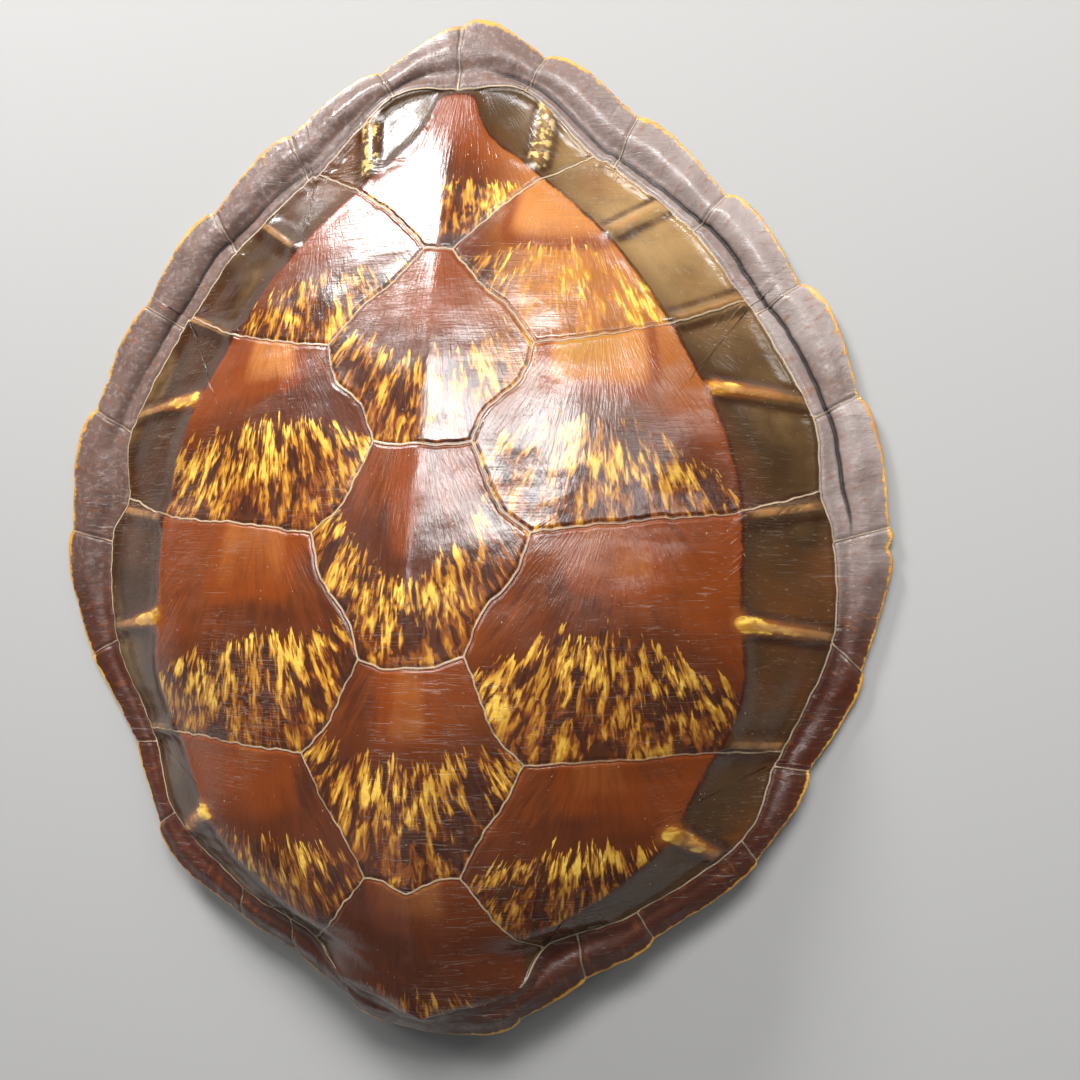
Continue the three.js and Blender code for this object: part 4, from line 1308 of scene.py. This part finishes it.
def fibre_tree():
    """Short bent fibres that stand off a path, most of them where its fray attribute is high."""
    tree = bpy.data.node_groups.new("Seam fibres", "GeometryNodeTree")
    names = {}
    for label, kind in (
        ("Geometry", "Geometry"), ("Spacing", "Float"), ("Length", "Float"), ("Thickness", "Float"),
        ("Seed", "Int"), ("Material", "Material"),
    ):
        socket = tree.interface.new_socket(label, in_out="INPUT", socket_type=f"NodeSocket{kind}")
        names[label] = socket.identifier
    tree.interface.new_socket("Geometry", in_out="OUTPUT", socket_type="NodeSocketGeometry")
    b = Bench(tree)
    given = b.node("NodeGroupInput").outputs

    def fed(kind, values, **settings):
        made = b.node(kind, **settings)
        b.fed(made, values, values.values())
        return made.outputs

    def drawn(kind, seed_step, values):
        """A random value for each fibre; the steps keep the draws apart."""
        seed = b.sum(given["Seed"], seed_step) if seed_step else given["Seed"]
        return fed("FunctionNodeRandomValue", {**values, "Seed": seed}, data_type=kind)

    path = fed("GeometryNodeMeshToCurve", {"Mesh": given["Geometry"]})["Curve"]
    spaced = fed(
        "GeometryNodeResampleCurve", {"Curve": path, "Length": given["Spacing"]}, mode="LENGTH"
    )
    cone = fed("GeometryNodeMeshCone", {
        "Vertices": 3, "Side Segments": 4, "Depth": given["Length"],
        "Radius Top": b.product(given["Thickness"], 0.12),
        "Radius Bottom": b.product(given["Thickness"], 0.5),
    }, fill_type="NGON")
    z = b.parts(b.node("GeometryNodeInputPosition").outputs[0])[2]
    lean = b.math("DIVIDE", b.product(z, z, 0.4), given["Length"])
    offset = b.joined(lean, 0.0, b.product(lean, -0.4))
    bent = fed("GeometryNodeSetPosition", {"Geometry": cone["Mesh"], "Offset": offset})

    turn = drawn("FLOAT_VECTOR", 0, {
        0: (-FIBRE_TURN, -FIBRE_TURN, 0.0), 1: (FIBRE_TURN, FIBRE_TURN, 6.283),
    })
    size = drawn("FLOAT", 1.0, {2: 0.35, 3: 1.0})
    fray = fed("GeometryNodeInputNamedAttribute", {"Name": "fray"}, data_type="FLOAT")
    kept = drawn("BOOLEAN", 2.0, {"Probability": fray["Attribute"]})
    placed = fed("GeometryNodeInstanceOnPoints", {
        "Points": spaced["Curve"], "Selection": kept[3], "Instance": bent["Geometry"],
        "Rotation": turn[0], "Scale": size[1],
    })
    real = fed("GeometryNodeRealizeInstances", {"Geometry": placed["Instances"]})["Geometry"]
    finish = fed("GeometryNodeSetMaterial", {"Geometry": real, "Material": given["Material"]})
    b.feed(b.node("NodeGroupOutput").inputs["Geometry"], finish["Geometry"])
    return tree, names


def seam_paths(sizes):
    """Every seam inside the rim and the rim's own, a little above the bottom of its gutter."""
    points, edges, fray, total = [], [], [], 0
    random = np.random.default_rng(31)
    inner = [(start, end) for start, end, *_ in SEAMS]
    rim = list(zip(RIM_SEAM, RIM_SEAM[1:]))
    for side in (1, -1):
        for start, end in inner + rim:
            plan = SEAM_POINTS[start, end, side]
            x, y = plan.T
            level = scute_height(x, y, sizes) if (start, end) in inner else seam_height(y)
            z = level + seam_relief(np.zeros(len(x)), sizes) + 0.12
            travelled = distance_along(plan)
            waves = ((wave, random.uniform(0, 6.3)) for wave in (2.1, 4.7, 11.0))
            loose = sum(np.sin(travelled / wave + phase) for wave, phase in waves)
            points.append(np.column_stack([plan, z]))
            fray.append(np.clip(0.34 * loose, 0, 1) * np.clip(0.6 + y / 260, 0.25, 1))
            index = np.arange(total, total + len(x))
            edges.append(np.stack([index[:-1], index[1:]], 1))
            total += len(x)
    return (np.vstack(points) + PLAN_OFFSET) * MM, np.vstack(edges), np.concatenate(fray)


def fibres_object(sizes, material):
    """The fibres as one plain mesh, made by their tree on the seams' paths."""
    points, edges, fray = seam_paths(sizes)
    mesh = bpy.data.meshes.new("seam_paths")
    mesh.from_pydata(points.tolist(), edges.tolist(), [])
    mesh.attributes.new("fray", "FLOAT", "POINT").data.foreach_set("value", fray.astype(np.float32))
    made = bpy.data.objects.new("seam_fibres", mesh)
    bpy.context.scene.collection.objects.link(made)
    tree, names = fibre_tree()
    modifier = made.modifiers.new("Seam fibres", "NODES")
    modifier.node_group = tree
    for label, value in (
        ("Spacing", sizes.fibre_spacing), ("Length", sizes.fibre_length),
        ("Thickness", sizes.fibre_thickness), ("Seed", FIBRE_SEED), ("Material", material),
    ):
        modifier[names[label]] = value
    bpy.context.view_layer.update()
    evaluated = made.evaluated_get(bpy.context.evaluated_depsgraph_get())
    plain = bpy.data.meshes.new_from_object(evaluated)
    made.modifiers.clear()
    made.data = plain
    plain.name = "seam_fibres"
    plain.materials.clear()
    plain.materials.append(material)
    plain.polygons.foreach_set("material_index", np.zeros(len(plain.polygons), np.int32))
    if not len(plain.polygons):
        raise RuntimeError("the seams carry no fibres")
    return made


# ---- Sizes and colours ----


def length_of(name, description, default):
    return bpy.props.FloatProperty(
        name=name, description=description, default=default, min=0.0, unit="LENGTH", precision=5
    )


def colour_of(name, description, red, green, blue):
    return bpy.props.FloatVectorProperty(
        name=name, description=description, default=(red, green, blue, 1.0),
        subtype="COLOR", size=4, min=0.0, max=1.0,
    )


def power_of(name, description, default):
    return bpy.props.FloatProperty(
        name=name, description=description, default=default, min=0.0, unit="POWER"
    )


class ShellSizes(bpy.types.PropertyGroup):
    seam_depth: length_of("Seam depth", "Depth of the gutter beside a seam's cord", 0.0004)
    rib_height: length_of("Rib height", "Rise of a rib's end inside a window", 0.0028)
    window_sink: length_of("Window sink", "How far the thin horn sinks past the bone", 0.0020)
    fold_depth: length_of("Fold depth", "Depth of the sharp fold along the rim", 0.0017)
    fibre_spacing: length_of("Fibre spacing", "Distance between fibres on a frayed seam", 0.0004)
    fibre_length: length_of("Fibre length", "Longest fibre", 0.0021)
    fibre_thickness: length_of("Fibre thickness", "Thickness of a fibre at its foot", 0.00013)


class ShellColours(bpy.types.PropertyGroup):
    flame: colour_of("Flame", "Brightest yellow in the flames", 0.93, 0.60, 0.10)
    deep_flame: colour_of("Deep flame", "Golden brown in the flames", 0.48, 0.21, 0.024)
    amber: colour_of("Amber", "Clear horn in the amber blocks", 0.43, 0.20, 0.03)
    orange: colour_of("Orange", "Light horn in the blocks and towards the tail", 0.54, 0.2, 0.048)
    fire: colour_of("Fire", "Saturated horn near the bone's edge", 0.22, 0.044, 0.006)
    burnt_amber: colour_of("Burnt amber", "Horn between the flames", 0.25, 0.074, 0.014)
    russet: colour_of("Russet", "Lighter red-brown horn", 0.20, 0.047, 0.010)
    red_brown: colour_of("Red-brown", "Plain horn towards the head", 0.098, 0.023, 0.007)
    dark_horn: colour_of("Dark horn", "Dark patches between flames", 0.038, 0.012, 0.008)
    window_olive: colour_of("Window, olive", "Thin horn past the bone", 0.070, 0.034, 0.012)
    window_tan: colour_of("Window, tan", "Thin horn towards the tail", 0.39, 0.235, 0.095)
    rim_grey: colour_of("Rim, grey", "Marginals towards the tail", 0.172, 0.106, 0.086)
    # A pale grey laid on the rim as painted sheen and painted glints.
    rim_sheen: colour_of("Rim, silver", "Clouded horn on the right-hand rim", 0.40, 0.33, 0.305)
    rim_red: colour_of("Rim, red", "Marginals towards the head", 0.075, 0.019, 0.009)
    edge_gold: colour_of("Edge, gold", "Thin outer edge of the rim", 0.8, 0.42, 0.05)
    seam_cord: colour_of("Seam cord", "Pale cord along the seams", 0.58, 0.45, 0.30)
    bone: colour_of("Bone", "Dry bone on the hollow side", 0.62, 0.50, 0.35)
    bone_stain: colour_of("Bone stain", "Stained bone on the hollow side", 0.46, 0.33, 0.19)
    under_horn: colour_of("Under horn", "Horn seen from below", 0.17, 0.085, 0.040)
    floor: colour_of("Floor", "The plain floor", 0.40, 0.395, 0.385)


class ShellStage(bpy.types.PropertyGroup):
    key_light: power_of("Key light", "Power of the soft light high past the tail", 29.0)
    low_light: power_of("Low light", "Power of the low soft light past the tail", 44.0)
    side_light: power_of("Side light", "Power of the soft light over the right-hand rim", 6.0)
    top_light: power_of("Top light", "Power of the soft light over the left-hand side", 6.0)
    fill_light: power_of("Fill light", "Power of the large soft light past the head", 5.0)
    room_light: bpy.props.FloatProperty(
        name="Room light", description="Even light from all round", default=0.1, min=0.0
    )


def palette(colours):
    """The panel's colours as plain tuples."""
    names = ShellColours.__annotations__
    return SimpleNamespace(**{name: tuple(getattr(colours, name)) for name in names})


# ---- Operators ----


class SHELL_OT_carapace(bpy.types.Operator):
    """Build the shell: bone and horn grown as one closed piece"""

    bl_idname = "shell.build_carapace"
    bl_label = "Build the carapace"

    def execute(self, context):
        colours = palette(context.scene.shell_colours)
        mesh = shell_mesh(context.scene.shell_sizes)
        made = bpy.data.objects.new("carapace_horn_and_bone", mesh)
        context.scene.collection.objects.link(made)
        groups = {
            "rays": ray_pattern_group(), "cord": seam_cord_group(), "wear": varnish_wear_group(),
        }
        mesh.materials.append(tortoiseshell(colours, groups))
        mesh.materials.append(rim_horn(colours, groups))
        mesh.materials.append(inner_bone(colours))
        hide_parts("carapace")
        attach(made, "root")
        return {"FINISHED"}


class SHELL_OT_fibres(bpy.types.Operator):
    """Set the frayed fibres along the seams"""

    bl_idname = "shell.build_fibres"
    bl_label = "Build the seam fibres"

    def execute(self, context):
        material = fibre_horn(palette(context.scene.shell_colours))
        made = fibres_object(context.scene.shell_sizes, material)
        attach(made, "root")
        return {"FINISHED"}


class SHELL_OT_stage(bpy.types.Operator):
    """Lay the floor and set the lights and the camera"""

    bl_idname = "shell.set_stage"
    bl_label = "Set the stage"

    def execute(self, context):
        scene, stage = context.scene, context.scene.shell_stage
        floor = bpy.data.meshes.new("floor")
        far = FLOOR_HALF
        corners = [(-far, -far, 0), (far, -far, 0), (far, far, 0), (-far, far, 0)]
        floor.from_pydata(corners, [], [(0, 1, 2, 3)])
        floor.materials.append(pale_floor(palette(scene.shell_colours)))
        laid = bpy.data.objects.new("floor", floor)
        scene.collection.objects.link(laid)
        for name, (place, aim, sides) in LIGHTS.items():
            add_light(name, place, aim, sides, getattr(stage, name))
        world = bpy.data.worlds.new("room")
        world.use_nodes = True
        background = world.node_tree.nodes["Background"]
        background.inputs["Color"].default_value = ROOM_TINT
        background.inputs["Strength"].default_value = stage.room_light
        scene.world = world
        scene.view_settings.view_transform = "Standard"
        lens = bpy.data.cameras.new("camera")
        lens.lens, lens.sensor_width, lens.clip_start = CAMERA["lens"], CAMERA["sensor"], 0.01
        camera = bpy.data.objects.new("camera", lens)
        stance = Matrix.Translation(CAMERA["place"])
        for angle, axis in CAMERA_TURNS:
            stance = stance @ Matrix.Rotation(np.radians(angle), 4, axis)
        camera.matrix_world = stance
        scene.collection.objects.link(camera)
        scene.camera = camera
        return {"FINISHED"}


def add_light(name, place, aim, sides, power):
    light = bpy.data.lights.new(name, "AREA")
    light.shape, light.energy = "RECTANGLE", power
    light.size, light.size_y = sides
    made = bpy.data.objects.new(name, light)
    made.location = place
    made.rotation_euler = (Vector(aim) - Vector(place)).to_track_quat("-Z", "Y").to_euler()
    bpy.context.scene.collection.objects.link(made)


class SHELL_PT_panel(bpy.types.Panel):
    """Sizes, colours and building steps of the shell"""

    bl_idname = "SHELL_PT_panel"
    bl_label = "Sea turtle shell"
    bl_space_type = "VIEW_3D"
    bl_region_type = "UI"
    bl_category = "Shell"

    def draw(self, context):
        for operator in (SHELL_OT_carapace, SHELL_OT_fibres, SHELL_OT_stage):
            self.layout.operator(operator.bl_idname)
        for label in ("Sizes", "Colours", "Stage"):
            box = self.layout.box()
            box.label(text=label)
            group = getattr(context.scene, f"shell_{label.lower()}")
            for key in type(group).__annotations__:
                box.prop(group, key)


CLASSES = (
    ShellSizes, ShellColours, ShellStage, SHELL_OT_carapace, SHELL_OT_fibres, SHELL_OT_stage,
    SHELL_PT_panel,
)


def register():
    for each in CLASSES:
        bpy.utils.register_class(each)
    bpy.types.Scene.shell_sizes = bpy.props.PointerProperty(type=ShellSizes)
    bpy.types.Scene.shell_colours = bpy.props.PointerProperty(type=ShellColours)
    bpy.types.Scene.shell_stage = bpy.props.PointerProperty(type=ShellStage)


def unregister():
    del bpy.types.Scene.shell_stage, bpy.types.Scene.shell_colours, bpy.types.Scene.shell_sizes
    for each in reversed(CLASSES):
        bpy.utils.unregister_class(each)


def main():
    register()
    bpy.ops.shell.build_carapace()
    bpy.ops.shell.build_fibres()
    bpy.ops.shell.set_stage()


if __name__ == "__main__":
    main()
